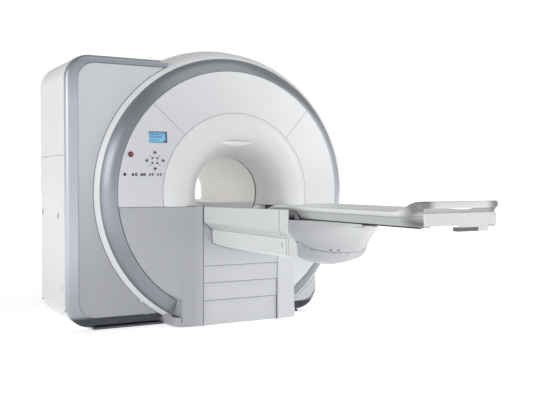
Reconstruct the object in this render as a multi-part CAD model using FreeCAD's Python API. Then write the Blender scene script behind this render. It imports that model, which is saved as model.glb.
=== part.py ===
import FreeCAD, Part
import os
from math import ceil, cos, hypot, radians, sin, sqrt

# Magnetic resonance scanner: a round gantry beside a square housing, with a lifting
# cantilever arm and a sliding tabletop. Millimetres. X runs right along the front,
# +Y runs into the machine along the bore, +Z is up and the floor is z = 0.
# The origin is on the floor under the bore axis, at the housing's front plane.

V = FreeCAD.Vector

# ---- Bore and round cover ----
AXIS_Z = 1050.0           # height of the bore axis
BORE_R = 300.0            # clear bore
FACE_R = 648.0            # seam between funnel and face panels
RING_IN_R = 993.0         # inner edge of the silver ring
RING_OUT_R = 1103.0       # outer edge of the silver ring
SHOULDER_R = 1139.0       # white shoulder where it meets the housing's plane
DRUM_R = 1200.0           # round cover
FACE_Y = -186.0           # front of the panels at the funnel seam
RING_Y = -132.0           # front of the panels at the ring
RING_BACK_Y = -39.0       # where the ring ends on the shoulder
FUNNEL_BULGE = 30.0       # how far the funnel's lip stands in front of its seam
DRUM_STRAIGHT_Y = 200.0   # where the shoulder reaches the full radius
DRUM_SPLIT_Y = 851.0      # seam between the round cover and the rear cover
REAR_Y = 1260.0           # back of the machine
THROAT_Y = 50.0           # end of the front funnel
SEAL_LENGTH = 20.0        # dark seal between funnel and liner
CUT_Z = 30.0              # round cover is cut flat above the floor
KICK_TOP = 75.0           # kick panels stop under the ring
PANEL_Z = 945.0           # level seam between face panels and aprons

# ---- Magnet ----
VESSEL_Y0 = 30.0
VESSEL_Y1 = 1190.0
VESSEL_R = 1000.0
VESSEL_BORE_R = 450.0
VESSEL_WALL = 10.0
VESSEL_END = 25.0
VESSEL_FOOT_LENGTH = 180.0
VESSEL_FOOT_INSET = 65.0  # from the end plate to a foot
HELIUM_GAP = 70.0         # vacuum space round the helium vessel
HELIUM_WALL = 8.0
COIL_COUNT = 6
COIL_DEPTH = 80.0
COIL_WIDTH = 90.0
BODY_COIL_WALL = 24.0

# ---- Square housing ----
BOX_X0 = -1351.0
BOX_X1 = 890.0
BOX_Z0 = 17.0
BOX_Z1 = 2112.0
BOX_CORNER = 190.0
BOX_REAR_Y = 848.0
FRAME_REAR_Y = 770.0      # rear posts of the housing's frame
FRAME_BAR = 40.0
FRAME_FOOT_X = -1140.0
FRAME_HEAD_X = -1040.0
FRAME_END_X = -640.0
FRAME_STEP_Z0 = 150.0     # height of the lower step
FRAME_STEP_Z1 = 156.0     # depth of the upper step under the top
RF_INSET = 61.0
RF_END_X = -1020.0
RF_HEIGHT = 710.0
FRONT_TIE_X = -1150.0
REAR_TIE = 55.0
TIE_Z = (300.0, 1030.0, 1800.0)
RAIL_W = 60.0
FLOOR_BAR_W = 90.0
FLOOR_BAR_END_X = 690.0
BOX_SEAM_Z = 1345.0
BAND_SIDE = 90.0          # width of the silver band on the sides
BAND_TOP = 57.0
BAND_BOTTOM = 70.0
BAND_RIGHT = 14.0
BAND_CORNER = 140.0
BAND_ROUND = 38.0         # rounding of the band's outer front edge
BAND_Y0 = -2.0
BAND_Y1 = 50.0
BAND_TOP_END_X = -530.0
BAND_BOTTOM_END_X = -620.0
FOOT_START_X = 600.0
FOOT_TOP_Z = 400.0
FOOT_RIB_Z = 150.0        # plate that ties the foot's front panel to its shell
FOOT_LAP = 20.0
PANEL_FRONT_Y = 4.0

# ---- Shells ----
SKIN = 6.0
SEAM = 3.0
SEAT_GAP = 0.3            # play where a plate stands behind a curved cover
LENS_HALF = 80.0
LENS_OUT = 85.0           # from the clear bore out to a lens bar
LENS_H = 15.0

# ---- Pedestal and lift ----
SLOT_HALF = 336.0         # half width of the slot the arm travels in
PEDESTAL_Y = -256.0       # front plane
PILLAR_X = 509.0          # fold between pillar front and apron
PILLAR_Y = -236.0
PILLAR_BACK_Y = -42.0     # back edge of the pillar's side, by the ring's cut end
SLOT_BACK_Y = -48.0
PLATE = 8.0
RAIL_CLEAR = 26.0         # from the slot's side plate to a floor rail
RAIL_X = SLOT_HALF + PLATE + RAIL_CLEAR + RAIL_W / 2
VESSEL_FOOT_X0 = RAIL_X + RAIL_W / 2 + 10.0
VESSEL_FOOT_X1 = VESSEL_FOOT_X0 + 160.0
BAR_Z = 16.6              # height of the floor bars
SLAT_T = 5.0
SLAT_STEP = 6.0
SLAT_OVERLAP = 10.0
SLAT_SIDE_GAP = 0.6
SLAT_Z = (2.0, 195.0, 336.0, 471.0)
LIFT_COVER_TOP = 755.0
HORN_GAP = 2.0
COLUMN = 60.0
COLUMN_X = 245.0
COLUMN_Y = -120.0
COLUMN_TOP = 890.0
CARRIAGE_Z0 = 500.0
CARRIAGE_Z1 = 880.0
CARRIAGE_Y0 = -200.0
CARRIAGE_Y1 = -78.0
CARRIAGE_T = 15.0
SLEEVE_T = 13.0
SLEEVE_H = 100.0
COLUMN_GAP = 0.5
COVER_LUG_Z = (672.0, 740.0)   # lugs that carry the moving pedestal cover
CYLINDER_Y = -125.0
ROD_R = 22.0
TUBE_WALL = 7.6
TUBE_GAP = 0.4
BARREL_TOP = 320.0
STAGE_TOP = 600.0
STAGE_INSERT = 25.0

# ---- Arm ----
ARM_HALF = 335.0
ARM_ROOT_Y = -258.0
ARM_SEAM_Y = -1445.0
ARM_END_Y = -1560.0
ARM_TOP_ROOT = 942.0
ARM_TOP_END = 962.0
ARM_CREASE_Z = 820.0
ARM_STEP_X = 265.0
ARM_STEP_Z = 765.0
ARM_LOWER_X = 262.0
ARM_LOWER_Z = 655.0
ARM_BELLY_X = 150.0
ARM_BELLY_Z = 618.0
ARM_KEEL_Z = 592.0
BEAM_X = 100.0
BEAM_W = 40.0
BEAM_Z0 = 760.0
BEAM_END_Y = -1480.0
RIB_Y = (-420.0, -920.0, -1420.0)  # cross plates that carry the arm's belly
RIB_T = 10.0
RIB_Z0 = 700.0
RIB_CLEAR = 5.5
DECK_Z = 868.0
DECK_T = 6.0
NOSE_TOP_Z = 897.0
NOSE_WALL = 9.0
NOSE_SHRINK = 0.982       # length of the nose's hollow, as a share of its own
NOSE_SEAM = ((0, 762.0), (110, 722.0), (230, 700.0), (330, 706.0), (600, 760.0))
# The nose outwards from the arm: distance, half width, height of the keel
NOSE_STATIONS = ((0, ARM_HALF - 2, ARM_KEEL_Z + 2), (90, 330, 612), (190, 308, 640),
                 (290, 262, 680), (360, 205, 734), (420, 135, 792), (470, 60, 858))
NOSE_NOTCH = (-60.0, 210.0, 875.0)   # dip in the tip's rim, so the end bracket passes

# ---- Tabletop and its drive ----
TOP_HALF = 270.0
TOP_Z = 984.0
TOP_PLATE = 11.0
TOP_RIM_Z = 934.0
TOP_BOTTOM_Z = 905.0
TOP_FOOT_HALF = TOP_HALF - 16.0
CHANNEL_HALF = 206.0
TOP_HEAD_Y = -1150.0
TOP_FOOT_Y = -2772.0
TOP_END_Y = TOP_FOOT_Y - 15.0
HANDLE_Z0 = 1005.0
HANDLE_Z1 = 1042.0
HANDLE_DEPTH = 42.0
CHEEK_T = 20.0
CHEEK_RISE = ((232.0, -2.0), (152.0, 8.0), (82.0, 36.0))  # from the foot end, from the top
RAMP_L = 112.0            # slope at the head end
RAMP_DROP = 29.0
BRACKET_X = (-21.0, 193.0)
BRACKET_Z = (881.0, 903.0)
BRACKET_DEPTH = 40.0
BRIDGE_HALF = 200.0
BRIDGE_Y0 = -72.0
BRIDGE_GAP = 1.0
STRIP_X = -243.0          # drive strip and pulleys run under the left edge
STRIP_HALF = 11.0
STRIP_T = 5.0
PULLEY_R = 40.0
PULLEY_HALF = 10.0
EAR_T = 12.0
SHAFT_R = 8.0
SHAFT_FIT = 0.05
RUN_GAP = 0.3
DRIVE_Y = -1300.0
RELAY_Y = -420.0
SHEAVE_R = 25.0
SHEAVE_X = -206.0
SHEAVE_W = 12.0
MOTOR_X = -190.0
MOTOR_LENGTH = 54.0
MOTOR_R = 42.0
BELT_T = 3.0

# ---- Controls on the left face panel: x, z and radius ----
STOP_BUTTON = (-893.0, 1351.0, 22.0)
KEY_CENTRE = (-707.0, 1305.0)
KEY_REACH = 64.0
KEY_R = 17.0
ROW_Z = 1197.0
ROW_X = (-939.0, -878.0, -851.0, -812.0, -789.0, -748.0, -724.0, -687.0, -662.0)
ROW_R = 9.0
KEY_GAP = 0.4
KEY_RISE = 2.0
KEY_TRAVEL = 3.0
DISPLAY_X = (-750.0, -606.0)
DISPLAY_Z = (1443.0, 1531.0)
BOARD_Y = -112.0
BOARD_X = (-975.0, -590.0)
BOARD_Z = (1165.0, 1550.0)
BOARD_CLEAR = 25.0        # from the ring's edge
BOARD_POSTS = ((-930, 1270), (-645, 1245), (-800, 1500), (-660, 1400))

FAR = 3000.0


# ---- Shape helpers ----

def block(x0, x1, y0, y1, z0, z1):
    return Part.makeBox(x1 - x0, y1 - y0, z1 - z0, V(x0, y0, z0))


def both_sides(x0, x1, y0, y1, z0, z1):
    """A block and its mirror image in X."""
    return [block(x0, x1, y0, y1, z0, z1), block(-x1, -x0, y0, y1, z0, z1)]


def joined(shapes):
    whole = shapes[0].fuse(shapes[1:]) if len(shapes) > 1 else shapes[0]
    return whole.removeSplitter()


def without(shape, *tools):
    for tool in tools:
        shape = shape.cut(tool)
    return shape


def face_of(points):
    return Part.Face(Part.makePolygon(points + points[:1]))


def along_y(points, y0, y1):
    """A prism along Y from (x, z) corners."""
    return face_of([V(x, y0, z) for x, z in points]).extrude(V(0, y1 - y0, 0))


def along_x(points, x0, x1):
    """A prism along X from (y, z) corners."""
    return face_of([V(x0, y, z) for y, z in points]).extrude(V(x1 - x0, 0, 0))


def along_z(points, z0, z1):
    """A prism along Z from (x, y) corners."""
    return face_of([V(x, y, z0) for x, y in points]).extrude(V(0, 0, z1 - z0))


def round_bar(x, y, z, radius, length, axis):
    return Part.makeCylinder(radius, length, V(x, y, z), axis)


def turned_face(edges):
    """The solid that a closed outline in the plane z = AXIS_Z makes about the bore axis."""
    face = Part.Face(Part.Wire(edges))
    return face.revolve(V(0, 0, AXIS_Z), V(0, 1, 0), 360)


def turned(points):
    """A solid of revolution about the bore axis from (radius, y) corners."""
    corners = [V(r, y, AXIS_Z) for r, y in points]
    return turned_face(Part.makePolygon(corners + corners[:1]).Edges)


def tube(inner, outer, y0, y1):
    return turned([(inner, y0), (outer, y0), (outer, y1), (inner, y1)])


def disc(radius, y0, y1):
    return round_bar(0, y0, AXIS_Z, radius, y1 - y0, V(0, 1, 0))


def offset(points, distance):
    """The (a, b) line moved to its left by the distance, with mitred corners."""
    moved = []
    for i, (a, b) in enumerate(points):
        normals = []
        for j in (i - 1, i):
            if 0 <= j < len(points) - 1:
                da = points[j + 1][0] - points[j][0]
                db = points[j + 1][1] - points[j][1]
                size = hypot(da, db)
                normals.append((-db / size, da / size))
        na = sum(n[0] for n in normals) / len(normals)
        nb = sum(n[1] for n in normals) / len(normals)
        share = distance / (na * na + nb * nb)
        moved.append((a + na * share, b + nb * share))
    return moved


def ribbon(points, thickness):
    """Corners of a strip of even thickness on the left of an open line."""
    return points + offset(points, thickness)[::-1]


def smooth(points):
    curve = Part.BSplineCurve()
    curve.interpolate(points)
    return curve.toShape()


def turned_skin(points, thickness):
    """A thin shell turned from a smooth line of (radius, y) points."""
    front = [V(r, y, AXIS_Z) for r, y in points]
    back = [V(r, y, AXIS_Z) for r, y in offset(points, thickness)]
    edges = [smooth(front), Part.makeLine(front[-1], back[-1])]
    edges += [smooth(back[::-1]), Part.makeLine(back[0], front[0])]
    return turned_face(edges)


def sector(start, end, y0, y1):
    """A wedge about the bore axis between two angles in degrees."""
    steps = ceil((end - start) / 45)
    angles = [radians(start + (end - start) * i / steps) for i in range(steps + 1)]
    rim = [(FAR * cos(a), AXIS_Z + FAR * sin(a)) for a in angles]
    return along_y([(0.0, AXIS_Z)] + rim, y0, y1)


def ray_slab(angle, width, y0, y1):
    """A thin slab from the bore axis outwards, for a seam."""
    slab = block(0, FAR, y0, y1, AXIS_Z - width / 2, AXIS_Z + width / 2)
    slab.rotate(V(0, 0, AXIS_Z), V(0, -1, 0), angle)
    return slab


def rounded_frame(x0, x1, z0, z1, radius, y0, y1):
    """A prism along Y with a rounded rectangle as its outline."""
    plain = block(x0, x1, y0, y1, z0, z1)
    corners = [e for e in plain.Edges if abs(e.tangentAt(e.FirstParameter).y) > 0.99]
    return plain.makeFillet(radius, corners)


def edges_at_y(shape, y):
    found = []
    for edge in shape.Edges:
        box = edge.BoundBox
        if abs(box.YMin - y) < 0.01 and abs(box.YMax - y) < 0.01:
            found.append(edge)
    return found


def mirrored(shape):
    return shape.mirror(V(0, 0, 0), V(1, 0, 0))


def group(shapes):
    solids = [solid for shape in shapes for solid in shape.Solids]
    return Part.makeCompound(solids)


def post_behind(skin, x, z, y_from, radius):
    """A round post along Y from y_from forward to the back of a skin."""
    post = round_bar(x, y_from, z, radius, FAR / 4, V(0, -1, 0)).cut(skin)
    return max(post.Solids, key=lambda s: s.BoundBox.YMax)


def post_before(skin, x, z, y_from, radius):
    """A round post along Y from y_from backward to the inside of a rear skin."""
    post = round_bar(x, y_from, z, radius, FAR / 4, V(0, 1, 0)).cut(skin)
    return min(post.Solids, key=lambda s: s.BoundBox.YMin)


def polar(angle, radius):
    return radius * cos(radians(angle)), AXIS_Z + radius * sin(radians(angle))


def face_y(radius):
    """Front of the face panels at a radius: a shallow cone."""
    share = (radius - FACE_R) / (RING_IN_R - FACE_R)
    return FACE_Y + share * (RING_Y - FACE_Y)


def face_y_at(x, z):
    return face_y(hypot(x, z - AXIS_Z))


# ---- Magnet and coils ----

def vacuum_vessel():
    """Outer barrel on its feet, bore tube and two end plates, welded edge to edge."""
    y0, y1 = VESSEL_Y0 + VESSEL_END, VESSEL_Y1 - VESSEL_END
    feet = []
    for y in (y0 + VESSEL_FOOT_INSET, y1 - VESSEL_FOOT_INSET - VESSEL_FOOT_LENGTH):
        feet += both_sides(VESSEL_FOOT_X0, VESSEL_FOOT_X1, y, y + VESSEL_FOOT_LENGTH, 0, AXIS_Z / 2)
    feet = [foot.cut(disc(VESSEL_R - VESSEL_WALL / 2, -FAR, FAR)) for foot in feet]
    return group([
        joined([tube(VESSEL_R - VESSEL_WALL, VESSEL_R, y0, y1)] + feet),
        tube(VESSEL_BORE_R, VESSEL_BORE_R + VESSEL_WALL, y0, y1),
        tube(VESSEL_BORE_R, VESSEL_R, VESSEL_Y0, y0),
        tube(VESSEL_BORE_R, VESSEL_R, y1, VESSEL_Y1),
    ])


def helium_vessel():
    inner = VESSEL_BORE_R + HELIUM_GAP
    outer = VESSEL_R - HELIUM_GAP
    y0 = VESSEL_Y0 + HELIUM_GAP
    y1 = VESSEL_Y1 - HELIUM_GAP
    shell = tube(inner, outer, y0, y1)
    room = tube(inner + HELIUM_WALL, outer - HELIUM_WALL, y0 + HELIUM_WALL, y1 - HELIUM_WALL)
    supports = []
    ring = tube(outer - HELIUM_WALL / 2, VESSEL_R - VESSEL_WALL, y0, y1)
    for angle in (30, 150, 210, 330):
        for y in (y0 + 120, y1 - 120):
            bar = round_bar(0, y, AXIS_Z, 15, VESSEL_R, V(1, 0, 0))
            bar.rotate(V(0, y, AXIS_Z), V(0, -1, 0), angle)
            supports.append(bar.common(ring))
    return joined([shell.cut(room)] + supports)


def main_coils():
    inner = VESSEL_BORE_R + HELIUM_GAP + HELIUM_WALL
    first = VESSEL_Y0 + HELIUM_GAP + HELIUM_WALL
    last = VESSEL_Y1 - HELIUM_GAP - HELIUM_WALL - COIL_WIDTH
    step = (last - first) / (COIL_COUNT - 1)
    starts = [first + step * i for i in range(COIL_COUNT)]
    return group([tube(inner, inner + COIL_DEPTH, y, y + COIL_WIDTH) for y in starts])


def bore_liner():
    return tube(BORE_R, BORE_R + SKIN, THROAT_Y + SEAL_LENGTH, VESSEL_Y1 - 8)


def body_coil():
    inner = BORE_R + SKIN
    return tube(inner, inner + BODY_COIL_WALL, VESSEL_Y0 + 90, VESSEL_Y1 - 80)


def gradient_coil():
    inner = BORE_R + SKIN + BODY_COIL_WALL
    return tube(inner, VESSEL_BORE_R, VESSEL_Y0 + 30, VESSEL_Y1 - 30)


def cold_head():
    """Cold head on its neck, radially out of the vessel into the housing's corner."""
    parts = []
    for start, end, radius in ((VESSEL_R - 60, 1120, 110), (1120, 1150, 140), (1150, 1380, 75)):
        bar = round_bar(start, 600, AXIS_Z, radius, end - start, V(1, 0, 0))
        parts.append(bar)
    head = joined(parts)
    head.rotate(V(0, 600, AXIS_Z), V(0, -1, 0), 135)
    return head.cut(disc(VESSEL_R, 0, FAR))


def rf_cabinet():
    """Radio-frequency cabinet on the lower steps, between the housing's uprights."""
    foot_z = FRAME_STEP_Z0 + FRAME_BAR
    return block(BOX_X0 + RF_INSET, RF_END_X, BAND_Y1 + FRAME_BAR, FRAME_REAR_Y,
                 foot_z, foot_z + RF_HEIGHT)


# ---- Frames ----

def floor_bars():
    """Two rails under the magnet and the cross bars between and outside them."""
    x0, x1 = RAIL_X - RAIL_W / 2, RAIL_X + RAIL_W / 2
    bars = both_sides(x0, x1, PEDESTAL_Y + SKIN + 25, VESSEL_Y1 - 10, 0, BAR_Z)
    for y in (BAND_Y1 - 50, FRAME_REAR_Y - 30):
        for start, end in ((FRAME_FOOT_X, -x1), (-x0, x0), (x1, FLOOR_BAR_END_X)):
            bars.append(block(start, end, y, y + FLOOR_BAR_W, 0, BAR_Z))
    return bars


def housing_frame(y):
    """One upright of the housing's frame: foot, step, post, step and top bar."""
    post_x, top = BOX_X0 + SKIN, BOX_Z1 - SKIN
    back = y + FRAME_BAR
    return [
        block(FRAME_FOOT_X, FRAME_FOOT_X + FRAME_BAR, y, back, BAR_Z, FRAME_STEP_Z0 + FRAME_BAR),
        block(post_x + FRAME_BAR, FRAME_FOOT_X, y, back, FRAME_STEP_Z0, FRAME_STEP_Z0 + FRAME_BAR),
        block(post_x, post_x + FRAME_BAR, y, back, FRAME_STEP_Z0, top - FRAME_STEP_Z1),
        block(post_x + FRAME_BAR, FRAME_HEAD_X, y, back, top - FRAME_STEP_Z1 - FRAME_BAR,
              top - FRAME_STEP_Z1),
        block(FRAME_HEAD_X, FRAME_HEAD_X + FRAME_BAR, y, back, top - FRAME_STEP_Z1 - FRAME_BAR, top),
        block(FRAME_HEAD_X + FRAME_BAR, FRAME_END_X, y, back, top - FRAME_BAR, top),
    ]


def base_frame():
    """Floor bars and the frame inside the square housing, welded end to end."""
    bars = floor_bars() + housing_frame(BAND_Y1) + housing_frame(FRAME_REAR_Y)
    inner_x = BOX_X0 + SKIN + FRAME_BAR
    for z in TIE_Z:
        top = z + FRAME_BAR
        bars += [
            block(inner_x, FRONT_TIE_X, BAND_Y1, BAND_Y1 + FRAME_BAR, z, top),
            block(FRONT_TIE_X - FRAME_BAR, FRONT_TIE_X, PANEL_FRONT_Y + SKIN, BAND_Y1, z, top),
            block(inner_x, inner_x + REAR_TIE, FRAME_REAR_Y, FRAME_REAR_Y + FRAME_BAR, z, top),
            block(inner_x, inner_x + FRAME_BAR, FRAME_REAR_Y + FRAME_BAR, BOX_REAR_Y - SKIN, z, top),
        ]
    covers = [housing_shell(), band_trim()]
    return group([without(bar, *covers) for bar in bars])


def pedestal_frame():
    """Slot side plates, floor plate and the two square lift columns."""
    sides = both_sides(SLOT_HALF, SLOT_HALF + PLATE, PEDESTAL_Y + SKIN, SLOT_BACK_Y, 0,
                       PANEL_Z - 5)
    covers = [apron(-1), apron(1)]
    for cover in covers:
        cover.translate(V(0, SEAT_GAP, 0))
    sides = [without(side, *covers) for side in sides]
    behind_slats = PEDESTAL_Y + 25
    floor = block(-SLOT_HALF - PLATE, SLOT_HALF + PLATE, behind_slats, SLOT_BACK_Y, 0, BAR_Z)
    half = COLUMN / 2
    columns = both_sides(COLUMN_X - half, COLUMN_X + half, COLUMN_Y - half, COLUMN_Y + half,
                         BAR_Z - 1, COLUMN_TOP)
    return joined(sides + [floor] + columns)


def slot_wall():
    """Back wall of the lift slot with the lower half of the bore's throat."""
    wall = block(-SLOT_HALF, SLOT_HALF, SLOT_BACK_Y, SLOT_BACK_Y + SKIN, 0.5, PANEL_Z - SEAM)
    throat = tube(BORE_R, BORE_R + SKIN, SLOT_BACK_Y, THROAT_Y)
    throat = throat.cut(block(-FAR, FAR, -FAR, FAR, PANEL_Z - SEAM, FAR))
    return joined([wall.cut(disc(BORE_R, -FAR, FAR)), throat])


# ---- Round covers ----

def funnel_profile():
    """Front funnel line from the throat out to the face seam, as (radius, y)."""
    lip = FACE_Y - FUNNEL_BULGE
    reach = FACE_R - BORE_R
    return [
        (BORE_R, THROAT_Y),
        (BORE_R + 0.05 * reach, THROAT_Y - 0.35 * (THROAT_Y - lip)),
        (BORE_R + 0.16 * reach, THROAT_Y - 0.66 * (THROAT_Y - lip)),
        (BORE_R + 0.34 * reach, lip + 0.11 * (THROAT_Y - lip)),
        (BORE_R + 0.62 * reach, lip),
        (FACE_R - SEAM / 2, FACE_Y),
    ]


def below_panel_line():
    return block(-FAR, FAR, -FAR, THROAT_Y + 10, -FAR, PANEL_Z + SEAM / 2)


def front_funnel():
    line = funnel_profile()[::-1]
    beyond = block(-FAR, FAR, THROAT_Y, FAR, -FAR, FAR)
    return without(turned_skin(line, -SKIN), below_panel_line(), beyond)


def rear_funnel():
    reach = FACE_R - BORE_R
    depth = REAR_Y - VESSEL_Y1
    line = [
        (BORE_R, VESSEL_Y1),
        (BORE_R + 0.08 * reach, VESSEL_Y1 + 0.45 * depth),
        (BORE_R + 0.3 * reach, VESSEL_Y1 + 0.85 * depth),
        (BORE_R + 0.62 * reach, REAR_Y),
        (FACE_R - SEAM / 2, REAR_Y),
    ]
    return turned_skin(line, -SKIN)


def face_skin():
    line = [(FACE_R + SEAM / 2, face_y(FACE_R)), (RING_IN_R - SEAM / 2, face_y(RING_IN_R))]
    return turned(ribbon(line, SKIN)).cut(below_panel_line())


def upper_face_panel():
    part = face_skin().common(sector(45, 135, -FAR, FAR))
    return without(part, *[ray_slab(a, SEAM, -FAR, FAR) for a in (45, 135)])


def right_face_panel():
    return without(face_skin().common(sector(-30, 45, -FAR, FAR)), ray_slab(45, SEAM, -FAR, FAR))


def key_places():
    x, z = KEY_CENTRE
    return {
        "up_key": (x, z + KEY_REACH, KEY_R),
        "down_key": (x, z - KEY_REACH, KEY_R),
        "left_key": (x - KEY_REACH, z, KEY_R),
        "right_key": (x + KEY_REACH, z, KEY_R),
        "stop_button": STOP_BUTTON,
    }


def left_face_panel():
    part = face_skin().common(sector(135, 210, -FAR, FAR))
    part = part.cut(ray_slab(135, SEAM, -FAR, FAR))
    holes = list(key_places().values()) + [(x, ROW_Z, ROW_R) for x in ROW_X]
    for x, z, radius in holes:
        part = part.cut(round_bar(x, -FAR, z, radius + KEY_GAP, 2 * FAR, V(0, 1, 0)))
    (x0, x1), (z0, z1) = DISPLAY_X, DISPLAY_Z
    return part.cut(block(x0 - KEY_GAP, x1 + KEY_GAP, -FAR, FAR, z0 - KEY_GAP, z1 + KEY_GAP))


def push_key(x, z, radius):
    """A key cap that stands proud of the panel, with its travel left behind it."""
    front = face_y_at(x, z) - KEY_RISE
    back = BOARD_Y - KEY_TRAVEL - 2
    return round_bar(x, front, z, radius, back - front, V(0, 1, 0))


def key_row():
    pads = []
    for x in ROW_X:
        front = face_y_at(x, ROW_Z) - 1
        pads.append(round_bar(x, front, ROW_Z, ROW_R, BOARD_Y - front, V(0, 1, 0)))
    return pads


def control_board():
    """Circuit board behind the keys, with the membrane pads and posts to the panel."""
    board = block(*BOARD_X, BOARD_Y, BOARD_Y + 4, *BOARD_Z)
    board = board.common(disc(RING_IN_R - BOARD_CLEAR, -FAR, FAR))
    panel = left_face_panel()
    posts = [post_behind(panel, x, z, BOARD_Y + 1, 6) for x, z in BOARD_POSTS]
    return joined([board] + posts + key_row())


def display_screen():
    (x0, x1), (z0, z1) = DISPLAY_X, DISPLAY_Z
    module = block(x0, x1, FACE_Y - 40, BOARD_Y, z0, z1)
    ahead = turned([(FACE_R - 60, -FAR), (RING_IN_R, -FAR),
                    (RING_IN_R, face_y(RING_IN_R) + 1), (FACE_R - 60, face_y(FACE_R - 60) + 1)])
    return module.cut(ahead)


def pedestal_room():
    return block(-PILLAR_X - 6, PILLAR_X + 6, -FAR, VESSEL_Y0, -FAR, 600)


def ring_trim():
    depth = RING_BACK_Y - RING_Y
    width = RING_OUT_R - RING_IN_R
    line = [
        (RING_IN_R + SEAM / 2, RING_Y + 1),
        (RING_IN_R + 0.40 * width, RING_Y + 0.20 * depth),
        (RING_IN_R + 0.75 * width, RING_Y + 0.54 * depth),
        (RING_OUT_R, RING_BACK_Y - 2),
    ]
    return turned_skin(line, SKIN).cut(pedestal_room())


def housing_outline(y0, y1, inset=0.0):
    return rounded_frame(BOX_X0 + inset, BOX_X1 - inset, BOX_Z0 + inset, BOX_Z1 - inset,
                         BOX_CORNER - inset, y0, y1)


def drum_cover():
    """Round cover with its shoulder, open where the square housing joins it."""
    line = [
        (RING_OUT_R + 3, RING_BACK_Y + 1),
        (SHOULDER_R, 0.0),
        (SHOULDER_R + 39, DRUM_STRAIGHT_Y / 2),
        (DRUM_R, DRUM_STRAIGHT_Y),
    ]
    shoulder = turned_skin(line, SKIN)
    barrel = tube(DRUM_R - SKIN, DRUM_R, DRUM_STRAIGHT_Y - 1, DRUM_SPLIT_Y)
    whole = shoulder.fuse(barrel)
    housing = housing_outline(SEAM, DRUM_SPLIT_Y + 1).cut(block(BAND_TOP_END_X, FAR, -1, FAR,
                                                               FOOT_TOP_Z, FAR))
    floor = block(-FAR, FAR, -FAR, FAR, -FAR, CUT_Z)
    whole = without(whole, housing, floor, pedestal_room())
    return max(whole.Solids, key=lambda s: s.Volume)


def rear_cover():
    """Rear part of the round cover with its rounded edge and flat back."""
    rounding = 110.0
    y0 = DRUM_SPLIT_Y + SEAM
    outer = [V(DRUM_R, y0, AXIS_Z), V(DRUM_R, REAR_Y - rounding, AXIS_Z),
             V(DRUM_R - rounding, REAR_Y, AXIS_Z), V(FACE_R + SEAM / 2, REAR_Y, AXIS_Z)]
    inner = [V(DRUM_R - SKIN, y0, AXIS_Z), V(DRUM_R - SKIN, REAR_Y - rounding, AXIS_Z),
             V(DRUM_R - rounding, REAR_Y - SKIN, AXIS_Z),
             V(FACE_R + SEAM / 2, REAR_Y - SKIN, AXIS_Z)]
    slant = rounding * (1 - sqrt(0.5))
    outer_mid = V(DRUM_R - slant, REAR_Y - slant, AXIS_Z)
    inner_slant = slant + SKIN * sqrt(0.5)
    inner_mid = V(DRUM_R - inner_slant, REAR_Y - inner_slant, AXIS_Z)
    edges = [
        Part.makeLine(outer[0], outer[1]),
        Part.Arc(outer[1], outer_mid, outer[2]).toShape(),
        Part.makeLine(outer[2], outer[3]),
        Part.makeLine(outer[3], inner[3]),
        Part.makeLine(inner[3], inner[2]),
        Part.Arc(inner[2], inner_mid, inner[1]).toShape(),
        Part.makeLine(inner[1], inner[0]),
        Part.makeLine(inner[0], outer[0]),
    ]
    return turned_face(edges).cut(block(-FAR, FAR, -FAR, FAR, -FAR, CUT_Z))


def bore_seal():
    seal = tube(BORE_R + 1.5, BORE_R + SKIN, THROAT_Y, THROAT_Y + SEAL_LENGTH)
    return seal


def laser_windows():
    """Three small lens bars set on the funnel: above the bore and at both sides."""
    funnel = front_funnel()
    low = AXIS_Z + BORE_R + LENS_OUT
    bar = block(-LENS_HALF, LENS_HALF, FACE_Y - FUNNEL_BULGE, FACE_Y + 130, low, low + LENS_H)
    bars = []
    for angle in (0, 90, -90):
        turned_bar = bar.copy()
        turned_bar.rotate(V(0, 0, AXIS_Z), V(0, 1, 0), angle)
        pieces = turned_bar.cut(funnel).Solids
        back = max(pieces, key=lambda s: s.BoundBox.YMax)
        limit = block(-FAR, FAR, FACE_Y - 60, FACE_Y + 30, -FAR, FAR)
        bars.append(back.common(limit))
    return group(bars)


# ---- Aprons, pillar fronts and kick panels ----

def apron_section(z):
    """Plan line of the left apron at a height: ring edge, fold, slot edge."""
    reach = RING_IN_R - SEAM
    ring_x = max(sqrt(reach ** 2 - (AXIS_Z - z) ** 2), PILLAR_X + 3)
    share = (PANEL_Z - z) / PANEL_Z
    fold_y = PILLAR_Y + 21 * max(0.0, 1 - 3 * share)
    return [(-ring_x, RING_Y - 1), (-PILLAR_X, fold_y), (-SLOT_HALF, PEDESTAL_Y)]


def apron(side):
    low = AXIS_Z - sqrt((RING_IN_R - SEAM) ** 2 - (PILLAR_X + 3) ** 2)
    top = PANEL_Z - SEAM / 2
    steps = 10
    wires = []
    for i in range(steps + 1):
        z = low + (top - low) * i / steps
        ring, fold, slot = apron_section(z)
        inner = [(slot[0], slot[1] + SKIN), (fold[0] + 2, fold[1] + SKIN),
                 (ring[0] + SKIN, ring[1] + SKIN)]
        corners = [V(x, y, z) for x, y in [ring, fold, slot] + inner]
        wires.append(Part.makePolygon(corners + corners[:1]))
    upper = Part.makeLoft(wires, True, True)
    ring, fold, slot = apron_section(low)
    front = [fold, slot, (slot[0], slot[1] + SKIN), (fold[0] + 2, fold[1] + SKIN)]
    lower = along_z(front, 2, low)
    side_x = -PILLAR_X - SEAM
    back = along_z([fold, (side_x, fold[1]), (side_x, PILLAR_BACK_Y),
                    (side_x + SKIN, PILLAR_BACK_Y), (side_x + SKIN, fold[1] + SKIN)],
                   KICK_TOP, low)
    whole = joined([upper, lower, back])
    return whole if side < 0 else mirrored(whole)


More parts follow.
